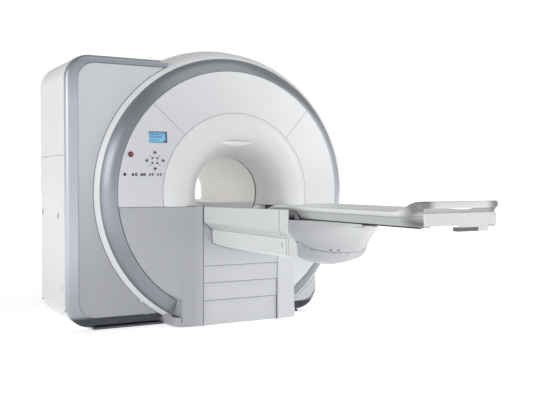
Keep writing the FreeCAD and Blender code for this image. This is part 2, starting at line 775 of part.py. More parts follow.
def drum_envelope():
    """Everything behind the round cover's outside, with a small gap."""
    gap = SEAM / 2
    return turned([
        (0, RING_Y - 8), (RING_IN_R - SEAM, RING_Y - 8), (RING_OUT_R + gap, RING_BACK_Y - 2 * gap),
        (SHOULDER_R + gap, -gap), (SHOULDER_R + 39 + gap, DRUM_STRAIGHT_Y / 2),
        (DRUM_R + gap, DRUM_STRAIGHT_Y), (DRUM_R + gap, DRUM_SPLIT_Y), (0, DRUM_SPLIT_Y),
    ])


def kick_panels():
    line = [(-PILLAR_X - 4, PILLAR_Y + 8), (-549, -182), (-564, -52), (-591, 79)]
    wall = along_z(ribbon(line, -SKIN), 0.5, KICK_TOP)
    clear = block(-FAR, FAR, -2, 92, -1, BAR_Z)
    wall = without(wall, drum_envelope(), clear)
    wall = max(wall.Solids, key=lambda s: s.Volume)
    return group([wall, mirrored(wall)])


# ---- Square housing ----

def outside_drum(shape):
    return shape.cut(disc(DRUM_R + SEAM, -FAR, FAR))


def band_trim():
    """Silver band round the housing's front edge, in two lengths."""
    outer = housing_outline(BAND_Y0, BAND_Y1)
    outer = outer.makeFillet(BAND_ROUND, edges_at_y(outer, BAND_Y0))
    inner = rounded_frame(BOX_X0 + BAND_SIDE, BOX_X1 - BAND_RIGHT, BOX_Z0 + BAND_BOTTOM,
                          BOX_Z1 - BAND_TOP, BAND_CORNER, BAND_Y0 - 1, BAND_Y1 + 1)
    wall = SKIN
    cavity = housing_outline(BAND_Y0 + wall, BAND_Y1 + 1, wall)
    cavity = cavity.makeFillet(BAND_ROUND - wall, edges_at_y(cavity, BAND_Y0 + wall))
    keep = rounded_frame(BOX_X0 + BAND_SIDE - wall, BOX_X1,
                         BOX_Z0 + BAND_BOTTOM - wall, BOX_Z1 - BAND_TOP + wall,
                         BAND_CORNER + wall, BAND_Y0 - 1, BAND_Y1 + 2)
    band = without(outer, inner, cavity.cut(keep))
    band = without(band,
                   disc(SHOULDER_R + SEAM, -FAR, FAR),
                   block(BAND_TOP_END_X, FAR, -FAR, FAR, FOOT_TOP_Z, FAR),
                   block(BAND_BOTTOM_END_X, FOOT_START_X, -FAR, FAR, -FAR, AXIS_Z))
    drum = disc(DRUM_R + SEAM, SEAM, FAR)
    pieces = band.cut(drum).Solids
    return group(sorted(pieces, key=lambda s: -s.Volume)[:2])


def front_skin():
    """Flat skin inside the silver band, cut away round the round cover."""
    gap = SEAM
    panel = rounded_frame(BOX_X0 + BAND_SIDE + gap, BOX_X1 - BAND_RIGHT - gap,
                          BOX_Z0 + BAND_BOTTOM + gap, BOX_Z1 - BAND_TOP - gap,
                          BAND_CORNER - gap, PANEL_FRONT_Y, PANEL_FRONT_Y + SKIN)
    return panel.cut(disc(SHOULDER_R + 6, -FAR, FAR))


def housing_front_panel():
    """Flat front panel between the round cover and the band, left of the machine."""
    return group([s for s in front_skin().Solids if s.BoundBox.XMax < 0])


def housing_shell():
    outer = housing_outline(BAND_Y1 + SEAM, BOX_REAR_Y)
    outer = outer.makeFillet(60, edges_at_y(outer, BOX_REAR_Y))
    inner = housing_outline(BAND_Y1, BOX_REAR_Y - SKIN, SKIN)
    inner = inner.makeFillet(60 - SKIN, edges_at_y(inner, BOX_REAR_Y - SKIN))
    shell = outside_drum(outer.cut(inner))
    bottom_opening = block(-1150, -560, 100, 800, -FAR, 60)
    return shell.cut(bottom_opening)


def largest(shape):
    return max(shape.Solids, key=lambda s: s.Volume)


def housing_upper_cover():
    shell = housing_shell()
    return largest(shell.cut(block(-FAR, FAR, -FAR, FAR, -FAR, BOX_SEAM_Z + SEAM / 2))
                   .cut(block(BAND_TOP_END_X, FAR, -FAR, FAR, -FAR, FAR)))


def housing_lower_cover():
    shell = housing_shell()
    shell = shell.cut(block(-FAR, FAR, -FAR, FAR, BOX_SEAM_Z - SEAM / 2, FAR))
    shell = shell.cut(block(BAND_BOTTOM_END_X, FAR, -FAR, FAR, -FAR, FAR))
    leg_room = block(-1150, -1090, BAND_Y1, 100, -FAR, 60)
    return largest(shell.cut(leg_room))


def foot_cover():
    """Lower right foot of the housing under the round cover, with its front panel."""
    def lowest(shape):
        return min([s for s in shape.Solids if s.BoundBox.XMin > 0], key=lambda s: s.BoundBox.ZMax)

    rib = block(FOOT_START_X, BOX_X1 - SKIN, PANEL_FRONT_Y + SKIN, BAND_Y1 + SEAM + FOOT_LAP,
                FOOT_RIB_Z, FOOT_RIB_Z + SKIN)
    shell = lowest(housing_shell())
    rib = without(rib, band_trim(), shell, disc(DRUM_R + SEAM, 0, FAR))
    return group([joined([lowest(front_skin()), largest(rib)]), shell])


# ---- What carries the covers ----

def cover_standoffs():
    """Mounting ring on the vessel and the posts from it to each cover."""
    ring = tube(VESSEL_R, VESSEL_R + 65, VESSEL_Y0, VESSEL_Y0 + 30)
    ring = ring.cut(block(-FAR, FAR, -FAR, FAR, -FAR, AXIS_Z - 950))
    left, right, upper = left_face_panel(), right_face_panel(), upper_face_panel()
    funnel, trim = front_funnel(), ring_trim()
    start = VESSEL_Y0
    posts = []
    for skin, angle, radius in (
            (upper, 60, 960), (upper, 120, 960), (upper, 60, 680), (upper, 120, 680),
            (left, 140, 960), (left, 176, 960), (left, 174, 690),
            (right, 40, 960), (right, 4, 960), (right, 6, 690),
            (funnel, 30, 600), (funnel, 90, 600), (funnel, 150, 600)):
        x, z = polar(angle, radius)
        posts.append(post_behind(skin, x, z, start, 12))
    for angle in (-30, 30, 90, 150, 210):
        x, z = polar(angle, 1045)
        posts.append(post_behind(trim, x, z, start, 10))
    for side in (-1, 1):
        skin = apron(side)
        for x, z in ((700, 760), (600, 480), (420, 700)):
            posts.append(post_behind(skin, side * x, z, start, 12))
    drum_room = tube(VESSEL_R, DRUM_R - SKIN, 250, 800)
    for angle in (-25, 20, 65, 105):
        for y in (300, 750):
            bar = round_bar(0, y, AXIS_Z, 15, FAR, V(1, 0, 0))
            bar.rotate(V(0, y, AXIS_Z), V(0, -1, 0), angle)
            posts.append(bar.common(drum_room))
    back, back_funnel = rear_cover(), rear_funnel()
    for skin, radius in ((back, 900), (back_funnel, 600)):
        for angle in (30, 150, 210, 330):
            x, z = polar(angle, radius)
            posts.append(post_before(skin, x, z, VESSEL_Y1, 12))
    return group([ring] + posts)


def bore_bridge():
    """Fixed hollow beam in the bore that carries the tabletop."""
    top = TOP_Z - TOP_PLATE - BRIDGE_GAP
    beam = block(-BRIDGE_HALF, BRIDGE_HALF, BRIDGE_Y0, VESSEL_Y1 - 20, AXIS_Z - BORE_R, top)
    beam = beam.common(disc(BORE_R - 0.2, -FAR, FAR))
    hollow = block(-BRIDGE_HALF + 12, BRIDGE_HALF - 12, BRIDGE_Y0 + 12, VESSEL_Y1 - 32,
                   AXIS_Z - BORE_R, top - 20)
    hollow = hollow.common(disc(BORE_R - 12, -FAR, FAR))
    return beam.cut(hollow)


# ---- Lift ----

def lift_barrel():
    radius = ROD_R + 2 * (TUBE_WALL + TUBE_GAP)
    wall = round_bar(0, CYLINDER_Y, BAR_Z, radius, BARREL_TOP - BAR_Z, V(0, 0, 1))
    room = round_bar(0, CYLINDER_Y, BAR_Z + 8, radius - TUBE_WALL, FAR, V(0, 0, 1))
    return wall.cut(room)


def lift_stage():
    radius = ROD_R + TUBE_GAP + TUBE_WALL
    low = BARREL_TOP - STAGE_INSERT
    wall = round_bar(0, CYLINDER_Y, low, radius, STAGE_TOP - low, V(0, 0, 1))
    return wall.cut(round_bar(0, CYLINDER_Y, low - 1, ROD_R + TUBE_GAP, FAR, V(0, 0, 1)))


def lift_rod():
    low = STAGE_TOP - STAGE_INSERT
    return round_bar(0, CYLINDER_Y, low, ROD_R, CARRIAGE_Z1 - 20 - low, V(0, 0, 1))


def arm_frame():
    """Lift carriage with its column sleeves, and the two cantilever beams."""
    half = COLUMN / 2
    inner = COLUMN_X - half - SLEEVE_T
    outer = COLUMN_X + half + SLEEVE_T
    plate = block(-outer, outer, CARRIAGE_Y0, CARRIAGE_Y0 + CARRIAGE_T, CARRIAGE_Z0, CARRIAGE_Z1)
    parts = [plate, block(-inner - 1, inner + 1, CARRIAGE_Y0, CARRIAGE_Y1,
                          CARRIAGE_Z1 - 20, CARRIAGE_Z1)]
    for z in (CARRIAGE_Z0, CARRIAGE_Z1 - SLEEVE_H):
        parts += both_sides(inner, outer, CARRIAGE_Y0, CARRIAGE_Y1, z, z + SLEEVE_H)
    parts += both_sides(BEAM_X - BEAM_W / 2, BEAM_X + BEAM_W / 2, PEDESTAL_Y + SLAT_T,
                        CARRIAGE_Y0 + 1, *COVER_LUG_Z)
    parts += both_sides(BEAM_X - BEAM_W / 2, BEAM_X + BEAM_W / 2, BEAM_END_Y, CARRIAGE_Y0 + 1,
                        BEAM_Z0, DECK_Z)
    reach = ARM_LOWER_X - RIB_CLEAR
    for y in RIB_Y:
        parts.append(block(-reach, reach, y, y + RIB_T, RIB_Z0, BEAM_Z0 + 6))
    whole = joined(parts)
    gap = half + COLUMN_GAP
    for x in (-COLUMN_X, COLUMN_X):
        whole = whole.cut(block(x - gap, x + gap, COLUMN_Y - gap, COLUMN_Y + gap, 0, FAR))
    return whole


def slat(index):
    """A front panel of the pedestal, counted from the fixed one at the floor."""
    low = SLAT_Z[index]
    high = SLAT_Z[index + 1] + SLAT_OVERLAP if index + 1 < len(SLAT_Z) else LIFT_COVER_TOP
    front = PEDESTAL_Y + SLAT_STEP * (len(SLAT_Z) - 1 - index)
    half = SLOT_HALF - SLAT_SIDE_GAP
    return block(-half, half, front, front + SLAT_T, low, high)


def lift_cover():
    """Moving cover under the arm, with a horn each side that fills in beside its belly."""
    low = LIFT_COVER_TOP - 1
    edge = SLOT_HALF - SLAT_SIDE_GAP
    horn = [(-edge, low), (-edge, ARM_CREASE_Z - HORN_GAP),
            (-ARM_STEP_X - HORN_GAP, ARM_STEP_Z - HORN_GAP), (-ARM_LOWER_X - HORN_GAP, low)]
    horn = along_y(horn, PEDESTAL_Y, PEDESTAL_Y + SLAT_T)
    return joined([slat(len(SLAT_Z) - 1), horn, mirrored(horn)])


# ---- Arm covers ----

def side_line():
    return [(-ARM_HALF, ARM_TOP_END), (-ARM_HALF, ARM_CREASE_Z), (-ARM_STEP_X, ARM_STEP_Z + 1)]


def belly_line():
    left = [(-ARM_STEP_X, ARM_STEP_Z - 1), (-ARM_LOWER_X, ARM_LOWER_Z),
            (-ARM_BELLY_X, ARM_BELLY_Z), (0.0, ARM_KEEL_Z)]
    return left + [(-x, z) for x, z in left[-2::-1]]


def arm_side_cover(side):
    wall = along_y(ribbon(side_line(), SKIN), ARM_SEAM_Y + SEAM / 2, ARM_ROOT_Y)
    above = along_x([(ARM_ROOT_Y + 1, ARM_TOP_ROOT), (ARM_ROOT_Y + 1, FAR),
                     (ARM_END_Y, FAR), (ARM_END_Y, ARM_TOP_END)], -FAR, FAR)
    wall = wall.cut(above)
    return wall if side < 0 else mirrored(wall)


def arm_belly():
    return along_y(ribbon(belly_line(), SKIN), ARM_SEAM_Y + 25, ARM_ROOT_Y)


def arm_collar():
    """End piece of the arm's covers, next to the nose."""
    line = side_line()[:2] + belly_line() + [(-x, z) for x, z in side_line()[1::-1]]
    return along_y(ribbon(line, SKIN), ARM_END_Y, ARM_SEAM_Y - SEAM / 2).cut(
        along_y(ribbon(belly_line(), SKIN), ARM_SEAM_Y - SEAM, ARM_SEAM_Y))


def nose_section(y, half, keel):
    """Cross-section of the nose at a place along it, scaled from the arm's own."""
    line = [(-ARM_HALF, NOSE_TOP_Z), (-ARM_HALF, ARM_CREASE_Z)] + belly_line()
    line += [(ARM_HALF, ARM_CREASE_Z), (ARM_HALF, NOSE_TOP_Z)]
    wide = half / ARM_HALF
    tall = (NOSE_TOP_Z - keel) / (NOSE_TOP_Z - ARM_KEEL_Z)
    corners = [V(x * wide, y, NOSE_TOP_Z - (NOSE_TOP_Z - z) * tall) for x, z in line]
    return Part.makePolygon(corners + corners[:1])


def nose_shell():
    start = ARM_END_Y - 0.5
    outer = Part.makeLoft([nose_section(start - d, w, k) for d, w, k in NOSE_STATIONS],
                          True, True)
    inner = Part.makeLoft([nose_section(start + 1 - d * NOSE_SHRINK, w - NOSE_WALL, k + NOSE_WALL)
                           for d, w, k in NOSE_STATIONS], True, True)
    inner.translate(V(0, 0, 1))
    x0, x1, z0 = NOSE_NOTCH
    notch = block(x0, x1, -FAR, start - 250, z0, FAR)
    return without(outer, inner, notch)


def nose_split():
    """Seam between the nose's cover and its chin, as (y, z)."""
    return [(ARM_END_Y + 1 - d, z) for d, z in NOSE_SEAM]


def nose_cover():
    line = nose_split()
    below = line + [(line[-1][0], 0.0), (line[0][0], 0.0)]
    return largest(nose_shell().cut(along_x(below, -FAR, FAR)))


def nose_chin():
    line = [(y, z - 0.6) for y, z in nose_split()]
    above = line + [(line[-1][0], FAR), (line[0][0], FAR)]
    return largest(nose_shell().cut(along_x(above, -FAR, FAR)))


# ---- Deck, tabletop and drive ----

def pulley_z():
    return TOP_BOTTOM_Z - STRIP_T - RUN_GAP - PULLEY_R


def arm_deck():
    """Deck plate with the two rails under the tabletop and the pulley ears."""
    half = ARM_HALF - SKIN - 0.4
    y0 = ARM_SEAM_Y - 55
    plate = block(-half, half, y0, ARM_ROOT_Y, DECK_Z, DECK_Z + DECK_T)
    rail = CHANNEL_HALF + 2
    parts = [plate] + both_sides(rail, rail + 20, y0, ARM_ROOT_Y, DECK_Z + 1, TOP_BOTTOM_Z - 0.4)
    deck = joined(parts)
    centre = pulley_z()
    x0 = STRIP_X - PULLEY_HALF - 2
    x1 = STRIP_X + PULLEY_HALF + 2
    belt_r = SHEAVE_R + RUN_GAP + BELT_T + 4
    for y in (DRIVE_Y, RELAY_Y):
        deck = deck.cut(block(x0, x1, y - PULLEY_R - 4, y + PULLEY_R + 4, DECK_Z - 1, FAR))
        deck = deck.cut(block(SHEAVE_X - 2, SHEAVE_X + SHEAVE_W + 2, y - belt_r, y + belt_r,
                              DECK_Z - 1, centre + belt_r))
    deck = deck.cut(block(MOTOR_X - 1, MOTOR_X + MOTOR_LENGTH + 3, DRIVE_Y - MOTOR_R - 3,
                          DRIVE_Y + MOTOR_R + 3, DECK_Z - 1, FAR))
    ears = []
    for y in (DRIVE_Y, RELAY_Y):
        for x in (x0 - EAR_T, x1):
            ears.append(block(x, x + EAR_T, y - 20, y + 20, centre - 20, DECK_Z + 1))
    deck = joined([deck] + ears)
    for y in (DRIVE_Y, RELAY_Y):
        deck = deck.cut(round_bar(x0 - 2 * EAR_T, y, centre, SHAFT_R + SHAFT_FIT, 80, V(1, 0, 0)))
    return deck


def pulley(y):
    """Pulley for the tabletop's strip, with its shaft and a sheave for the linking belt."""
    centre = pulley_z()
    start = STRIP_X - PULLEY_HALF
    wheel = round_bar(start, y, centre, PULLEY_R, 2 * PULLEY_HALF, V(1, 0, 0))
    shaft_start = start - 2 - EAR_T
    shaft = round_bar(shaft_start, y, centre, SHAFT_R, MOTOR_X - shaft_start, V(1, 0, 0))
    sheave = round_bar(SHEAVE_X, y, centre, SHEAVE_R, SHEAVE_W, V(1, 0, 0))
    return joined([wheel, shaft, sheave])


def drive_motor():
    """Flat motor on the drive pulley's shaft, with a foot that hangs from the deck."""
    body = round_bar(MOTOR_X, DRIVE_Y, pulley_z(), MOTOR_R, MOTOR_LENGTH, V(1, 0, 0))
    foot_x = MOTOR_X + 12
    half = MOTOR_R + 25
    foot = block(foot_x, foot_x + 30, DRIVE_Y - half, DRIVE_Y + half, DECK_Z - 10, DECK_Z)
    return joined([body, foot])


def sync_belt():
    """Belt that links the two pulleys, a closed loop round their sheaves."""
    centre = pulley_z()

    def loop(radius):
        ends = [round_bar(SHEAVE_X, y, centre, radius, SHEAVE_W, V(1, 0, 0))
                for y in (DRIVE_Y, RELAY_Y)]
        middle = block(SHEAVE_X, SHEAVE_X + SHEAVE_W, DRIVE_Y, RELAY_Y,
                       centre - radius, centre + radius)
        return joined(ends + [middle])

    inner = SHEAVE_R + RUN_GAP
    return loop(inner + BELT_T).cut(loop(inner))


def tabletop():
    """Tabletop: an inverted channel, ramped at the head and raised to a handle at the foot."""
    under = TOP_Z - TOP_PLATE
    right = [(TOP_HALF, TOP_Z), (TOP_HALF, TOP_RIM_Z), (TOP_FOOT_HALF, TOP_BOTTOM_Z),
             (CHANNEL_HALF, TOP_BOTTOM_Z), (CHANNEL_HALF, under)]
    board = along_y(right + [(-x, z) for x, z in right[::-1]], TOP_FOOT_Y, TOP_HEAD_Y)
    ramp = along_x([(TOP_HEAD_Y - RAMP_L, TOP_Z), (TOP_HEAD_Y + 1, TOP_Z - RAMP_DROP),
                    (TOP_HEAD_Y + 1, FAR), (TOP_HEAD_Y - RAMP_L, FAR)], -FAR, FAR)
    cheek = [(TOP_FOOT_Y + y, TOP_Z + z) for y, z in CHEEK_RISE]
    cheek += [(TOP_FOOT_Y + 37, HANDLE_Z1), (TOP_END_Y, HANDLE_Z1), (TOP_END_Y, HANDLE_Z0),
              (TOP_FOOT_Y, TOP_BOTTOM_Z + 20), (TOP_FOOT_Y + 60, TOP_Z - 2)]
    cheeks = [along_x(cheek, x, x + CHEEK_T) for x in (-TOP_HALF, TOP_HALF - CHEEK_T)]
    bar = block(-TOP_HALF, TOP_HALF, TOP_END_Y, TOP_END_Y + HANDLE_DEPTH, HANDLE_Z0, HANDLE_Z1)
    return joined([board.cut(ramp)] + cheeks + [bar])


def end_plate():
    """Plate that closes the tabletop's foot end, with a small bracket under it."""
    half = TOP_FOOT_HALF - 6
    plate = block(-half, half, TOP_END_Y + 3, TOP_FOOT_Y, TOP_BOTTOM_Z + 8, TOP_Z - 4)
    front = TOP_END_Y + 6
    bracket = block(*BRACKET_X, front, front + BRACKET_DEPTH, *BRACKET_Z)
    web = block(*BRACKET_X, front, TOP_FOOT_Y, BRACKET_Z[1] - 1, TOP_BOTTOM_Z + 9)
    return joined([plate, bracket, web])


def drive_strip():
    return block(STRIP_X - STRIP_HALF, STRIP_X + STRIP_HALF, TOP_FOOT_Y + 32, TOP_HEAD_Y - 100,
                 TOP_BOTTOM_Z - STRIP_T, TOP_BOTTOM_Z)


def nodes():
    """Every sub-part by name."""
    parts = {
        "vacuum_vessel": vacuum_vessel(),
        "helium_vessel": helium_vessel(),
        "main_coils": main_coils(),
        "gradient_coil": gradient_coil(),
        "body_coil": body_coil(),
        "bore_liner": bore_liner(),
        "bore_seal": bore_seal(),
        "cold_head": cold_head(),
        "rf_cabinet": rf_cabinet(),
        "base_frame": base_frame(),
        "pedestal_frame": pedestal_frame(),
        "slot_wall": slot_wall(),
        "front_funnel": front_funnel(),
        "rear_funnel": rear_funnel(),
        "upper_face_panel": upper_face_panel(),
        "left_face_panel": left_face_panel(),
        "right_face_panel": right_face_panel(),
        "left_apron": apron(-1),
        "right_apron": apron(1),
        "kick_panels": kick_panels(),
        "ring_trim": ring_trim(),
        "drum_cover": drum_cover(),
        "rear_cover": rear_cover(),
        "band_trim": band_trim(),
        "housing_front_panel": housing_front_panel(),
        "housing_upper_cover": housing_upper_cover(),
        "housing_lower_cover": housing_lower_cover(),
        "foot_cover": foot_cover(),
        "cover_standoffs": cover_standoffs(),
        "laser_windows": laser_windows(),
        "control_board": control_board(),
        "display_screen": display_screen(),
        "bore_bridge": bore_bridge(),
        "lift_barrel": lift_barrel(),
        "lift_stage": lift_stage(),
        "lift_rod": lift_rod(),
        "arm_frame": arm_frame(),
        "bottom_slat": slat(0),
        "lower_slat": slat(1),
        "upper_slat": slat(2),
        "lift_cover": lift_cover(),
        "arm_deck": arm_deck(),
        "arm_cover_left": arm_side_cover(-1),
        "arm_cover_right": arm_side_cover(1),
        "arm_belly": arm_belly(),
        "arm_collar": arm_collar(),
        "nose_cover": nose_cover(),
        "nose_chin": nose_chin(),
        "drive_pulley": pulley(DRIVE_Y),
        "relay_pulley": pulley(RELAY_Y),
        "drive_motor": drive_motor(),
        "sync_belt": sync_belt(),
        "tabletop": tabletop(),
        "end_plate": end_plate(),
        "drive_strip": drive_strip(),
    }
    for name, place in key_places().items():
        parts[name] = push_key(*place)
    return parts


def main():
    os.makedirs("parts", exist_ok=True)
    for name, shape in nodes().items():
        box = shape.BoundBox
        print("%-20s solids %2d valid %s vol %.4f  x %.0f..%.0f y %.0f..%.0f z %.0f..%.0f" % (
            name, len(shape.Solids), shape.isValid(), shape.Volume / 1e9,
            box.XMin, box.XMax, box.YMin, box.YMax, box.ZMin, box.ZMax))
        shape.exportStep("parts/%s.step" % name)


main()
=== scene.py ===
import math

import bmesh
import bpy
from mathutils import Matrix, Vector
from mathutils.bvhtree import BVHTree


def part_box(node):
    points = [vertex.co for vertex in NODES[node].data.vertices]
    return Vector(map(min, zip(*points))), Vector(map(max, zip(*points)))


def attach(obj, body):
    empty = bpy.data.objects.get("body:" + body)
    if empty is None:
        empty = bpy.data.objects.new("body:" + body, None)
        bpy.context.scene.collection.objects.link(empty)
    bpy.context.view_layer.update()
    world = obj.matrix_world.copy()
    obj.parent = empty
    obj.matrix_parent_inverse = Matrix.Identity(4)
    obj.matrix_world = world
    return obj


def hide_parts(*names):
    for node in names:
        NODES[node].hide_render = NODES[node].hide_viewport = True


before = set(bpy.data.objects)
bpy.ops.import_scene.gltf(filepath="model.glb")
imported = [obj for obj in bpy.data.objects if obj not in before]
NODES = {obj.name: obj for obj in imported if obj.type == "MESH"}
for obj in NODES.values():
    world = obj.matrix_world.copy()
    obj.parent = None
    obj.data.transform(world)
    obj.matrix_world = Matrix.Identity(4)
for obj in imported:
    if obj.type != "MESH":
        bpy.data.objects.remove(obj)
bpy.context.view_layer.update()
X, Y, Z = 0, 1, 2


# ---- Shader maths ----

MIX_AMOUNT, MIX_FIRST, MIX_SECOND, MIX_COLOUR = 0, 6, 7, 2      # sockets of the colour mix


class Level:
    """A value that varies over a surface; its operators add Math nodes."""

    def __init__(self, nodes, socket):
        self.nodes, self.socket = nodes, socket

    def __add__(self, other):
        return self.nodes.node("ShaderNodeMath", {"operation": "ADD"}, [self, other])

    def __mul__(self, other):
        return self.nodes.node("ShaderNodeMath", {"operation": "MULTIPLY"}, [self, other])

    __radd__ = __add__
    __rmul__ = __mul__

    def ramp(self, low, high):
        """0 below low, 1 above high and straight between."""
        return self.nodes.node("ShaderNodeMapRange", {"clamp": True}, [self, low, high, 0.0, 1.0])


class Nodes:
    """A node tree, and the one method that adds a node to it."""

    def __init__(self, owner):
        owner.use_nodes = True
        self.tree = owner.node_tree

    def feed(self, socket, value):
        """Links a level to a socket, or sets a constant on it."""
        if isinstance(value, Level):
            self.tree.links.new(value.socket, socket)
        else:
            socket.default_value = value

    def node(self, kind, settings, values, out=0):
        """One node: its settings first, then its sockets in order or by name."""
        made = self.tree.nodes.new(kind)
        for key, value in settings.items():
            if key == "stops":
                for stop, (at, colour) in zip(made.color_ramp.elements, value):
                    stop.position, stop.color = at, colour
            else:
                setattr(made, key, value)
        for key, value in (values.items() if isinstance(values, dict) else enumerate(values)):
            self.feed(made.inputs[key], value)
        return Level(self, made.outputs[out])


class Finish(Nodes):
    """A material on one Principled shader, whose patterns follow the piece's own coordinates."""

    def __init__(self, name, colour, **sockets):
        self.material = bpy.data.materials.new(name)
        super().__init__(self.material)
        self.shader = self.tree.nodes["Principled BSDF"]
        self.place = self.node("ShaderNodeTexCoord", {}, [], "Object")
        self.set("Base Color", (*colour, 1.0))
        for key, value in sockets.items():
            self.set(key.replace("_", " "), value)

    def set(self, key, value):
        self.feed(self.shader.inputs[key], value)

    def noise(self, scale, detail=2.0):
        return self.node("ShaderNodeTexNoise", {}, {"Vector": self.place, "Scale": scale, "Detail": detail})

    def along(self, axis):
        return self.node("ShaderNodeSeparateXYZ", {}, [self.place], axis)

    def blend(self, amount, first, second, way="MIX"):
        """The first colour mixed with the second, by amount."""
        first, second = (c if isinstance(c, Level) else (*c, 1.0) for c in (first, second))
        return self.node("ShaderNodeMix", {"data_type": "RGBA", "blend_type": way},
                         {MIX_AMOUNT: amount, MIX_FIRST: first, MIX_SECOND: second}, MIX_COLOUR)

    def grain(self, scale, depth):
        """Fine bumps: scale per metre, depth in metres."""
        self.set("Normal", self.node("ShaderNodeBump", {}, {
            "Strength": 1.0, "Distance": depth, "Height": self.noise(scale)}))

    # a glow on a part that is no lamp: painted light
    def painted_glow(self, colour, strength):
        self.set("Emission Color", (*colour, 1.0))
        self.set("Emission Strength", strength)


def shade(colour, factor):
    return tuple(min(1.0, c * factor) for c in colour)


def moulded(name, colour, rough=0.34, grain=700.0, depth=0.00012, coat=0.15, drift=0.95, fades=()):
    """Painted moulded cover: soft drift in tone, fine orange peel, uneven gloss.

    fades are (axis or mask, from, to, colour): the colour turns into each of them, one after another; most
    fades are painted shade."""
    made = Finish(name, colour, Coat_Weight=coat, Coat_Roughness=0.12)
    tone = made.noise(1.7, 3.0).ramp(0.3, 0.75)
    paint = made.blend(tone, shade(colour, drift), colour)
    for axis, start, end, second in fades:
        amount = axis(made) if callable(axis) else made.along(axis)
        paint = made.blend(amount.ramp(start, end), paint,
                           made.blend(tone, shade(second, drift), second))
    made.set("Base Color", paint)
    made.set("Roughness", made.noise(9.0, 4.0).ramp(0.2, 0.9) * 0.1 + rough)
    made.grain(grain, depth)
    return made


def lacquered(name, places, rough=0.34, right=None):
    """Metallic lacquer with a fine flake, whose tone changes with height and to the right as painted
    reflection and shade.

    places are (height, colour), lowest first; right is (from, to, colour), its tone to the right."""
    made = Finish(name, places[0][1], Metallic=0.72, Coat_Weight=0.35, Coat_Roughness=0.14)
    height, tone = made.along(Z), places[0][1]
    for (low, _), (high, colour) in zip(places, places[1:]):
        tone = made.blend(height.ramp(low, high), tone, colour)
    if right:
        start, end, colour = right
        tone = made.blend(made.along(X).ramp(start, end), tone, colour)
    flake = made.noise(1400.0, 1.0).ramp(0.35, 0.65)
    made.set("Base Color", made.blend(flake * 0.5, tone, (0.78, 0.78, 0.78), "MULTIPLY"))
    made.set("Roughness", made.noise(4.0, 3.0).ramp(0.3, 0.8) * 0.08 + rough)
    made.grain(380.0, 0.00008)
    return made


def machined(name, colour, rough, stretch):
    """Bare metal with lines of tooling across it."""
    made = Finish(name, colour, Metallic=1.0)
    place = made.node("ShaderNodeMapping", {}, {"Vector": made.place, "Scale": stretch})
    lines = made.node("ShaderNodeTexNoise", {}, {"Vector": place, "Scale": 60.0})
    made.set("Base Color", made.blend(lines, shade(colour, 0.86), colour))
    made.set("Roughness", lines * 0.2 + rough)
    made.grain(900.0, 0.00005)
    return made


# ---- Masks: 1 on a part of a piece and 0 elsewhere ----

def on_swoop_shade(made):
    """The outer sides of the tabletop where they rise at the foot end, darkened as painted shade."""
    x = made.along(X)
    return (x * x).ramp(0.0590, 0.0640) * made.along(Y).ramp(-2.585, -2.69)


def on_bracket_shadow(made):
    """The left part of the bracket under the end plate, darkened as a painted shadow."""
    return made.along(Z).ramp(0.905, 0.901) * made.along(X).ramp(0.125, 0.120)


def on_handle_end_shade(made):
    """Both ends of the handle bar, which are darkened as painted shade."""
    x = made.along(X)
    return (x * x).ramp(0.030, 0.052)


# ---- Finishes ----

# tones of the silver lacquers' painted reflection
SILVER_DARK, SILVER_MID, SILVER_PALE = (0.28, 0.30, 0.33), (0.36, 0.385, 0.43), (0.60, 0.64, 0.70)

covers = moulded("satin white covers", (0.80, 0.81, 0.82))
# the side covers darken towards the bottom: painted shade
side_covers = moulded("side covers", (0.83, 0.835, 0.845), rough=0.42,
                      fades=((Z, 1.1, 0.3, (0.775, 0.78, 0.79)),))
# the front panel darkens towards the bottom: painted shade
panel_grey = moulded("front panel", (0.60, 0.62, 0.63), rough=0.38,
                     fades=((Z, 1.25, 0.45, (0.44, 0.45, 0.48)),))
# the handle bar's ends are dark as painted shade, like the swoop beside them
handle_paint = moulded("handle bar", (0.80, 0.81, 0.80),
                       fades=((on_handle_end_shade, 0.0, 1.0, (0.24, 0.245, 0.245)),))
# the bracket's left part under the end plate is a painted shadow
plate_white = moulded("end plate", (0.80, 0.81, 0.80),
                      fades=((on_bracket_shadow, 0.0, 1.0, (0.14, 0.145, 0.145)),))
# the aprons are a shaded copy of the white covers, darker still to the left: painted shade
apron_white = moulded("apron covers", (0.70, 0.71, 0.73),
                      fades=((X, -0.15, -0.42, (0.45, 0.46, 0.485)),))
# the pedestal covers are a shaded copy of the white covers, darker still up under the arm: painted shadow
slat_white = moulded("pedestal covers", (0.65, 0.66, 0.68),
                     fades=((Z, 0.45, 0.75, (0.51, 0.52, 0.54)),))
# the band on the arm's downward chamfer, between the crease and the step, is darker: painted shade
arm_white = moulded("arm covers", (0.72, 0.735, 0.73),
                    fades=((Z, 0.826, 0.812, (0.56, 0.58, 0.575)),
                           (Z, 0.774, 0.762, (0.74, 0.75, 0.75))))
wall_white = moulded("arm lower walls", (0.78, 0.79, 0.79))
# the face panels, key caps and stop collar darken to the left: painted shade
face_white = moulded("face panels", (0.78, 0.79, 0.80), rough=0.33,
                     fades=((X, 0.1, -0.6, (0.68, 0.69, 0.71)),))
# the ring's tone by height and its paler right side are painted reflection and shade
ring_silver = lacquered("ring lacquer", (
    (0.1, (0.30, 0.32, 0.35)), (0.6, SILVER_DARK), (1.0, SILVER_MID), (1.4, SILVER_MID),
    (1.75, SILVER_DARK), (2.1, (0.31, 0.33, 0.35))), right=(0.75, 1.05, (0.50, 0.53, 0.58)))
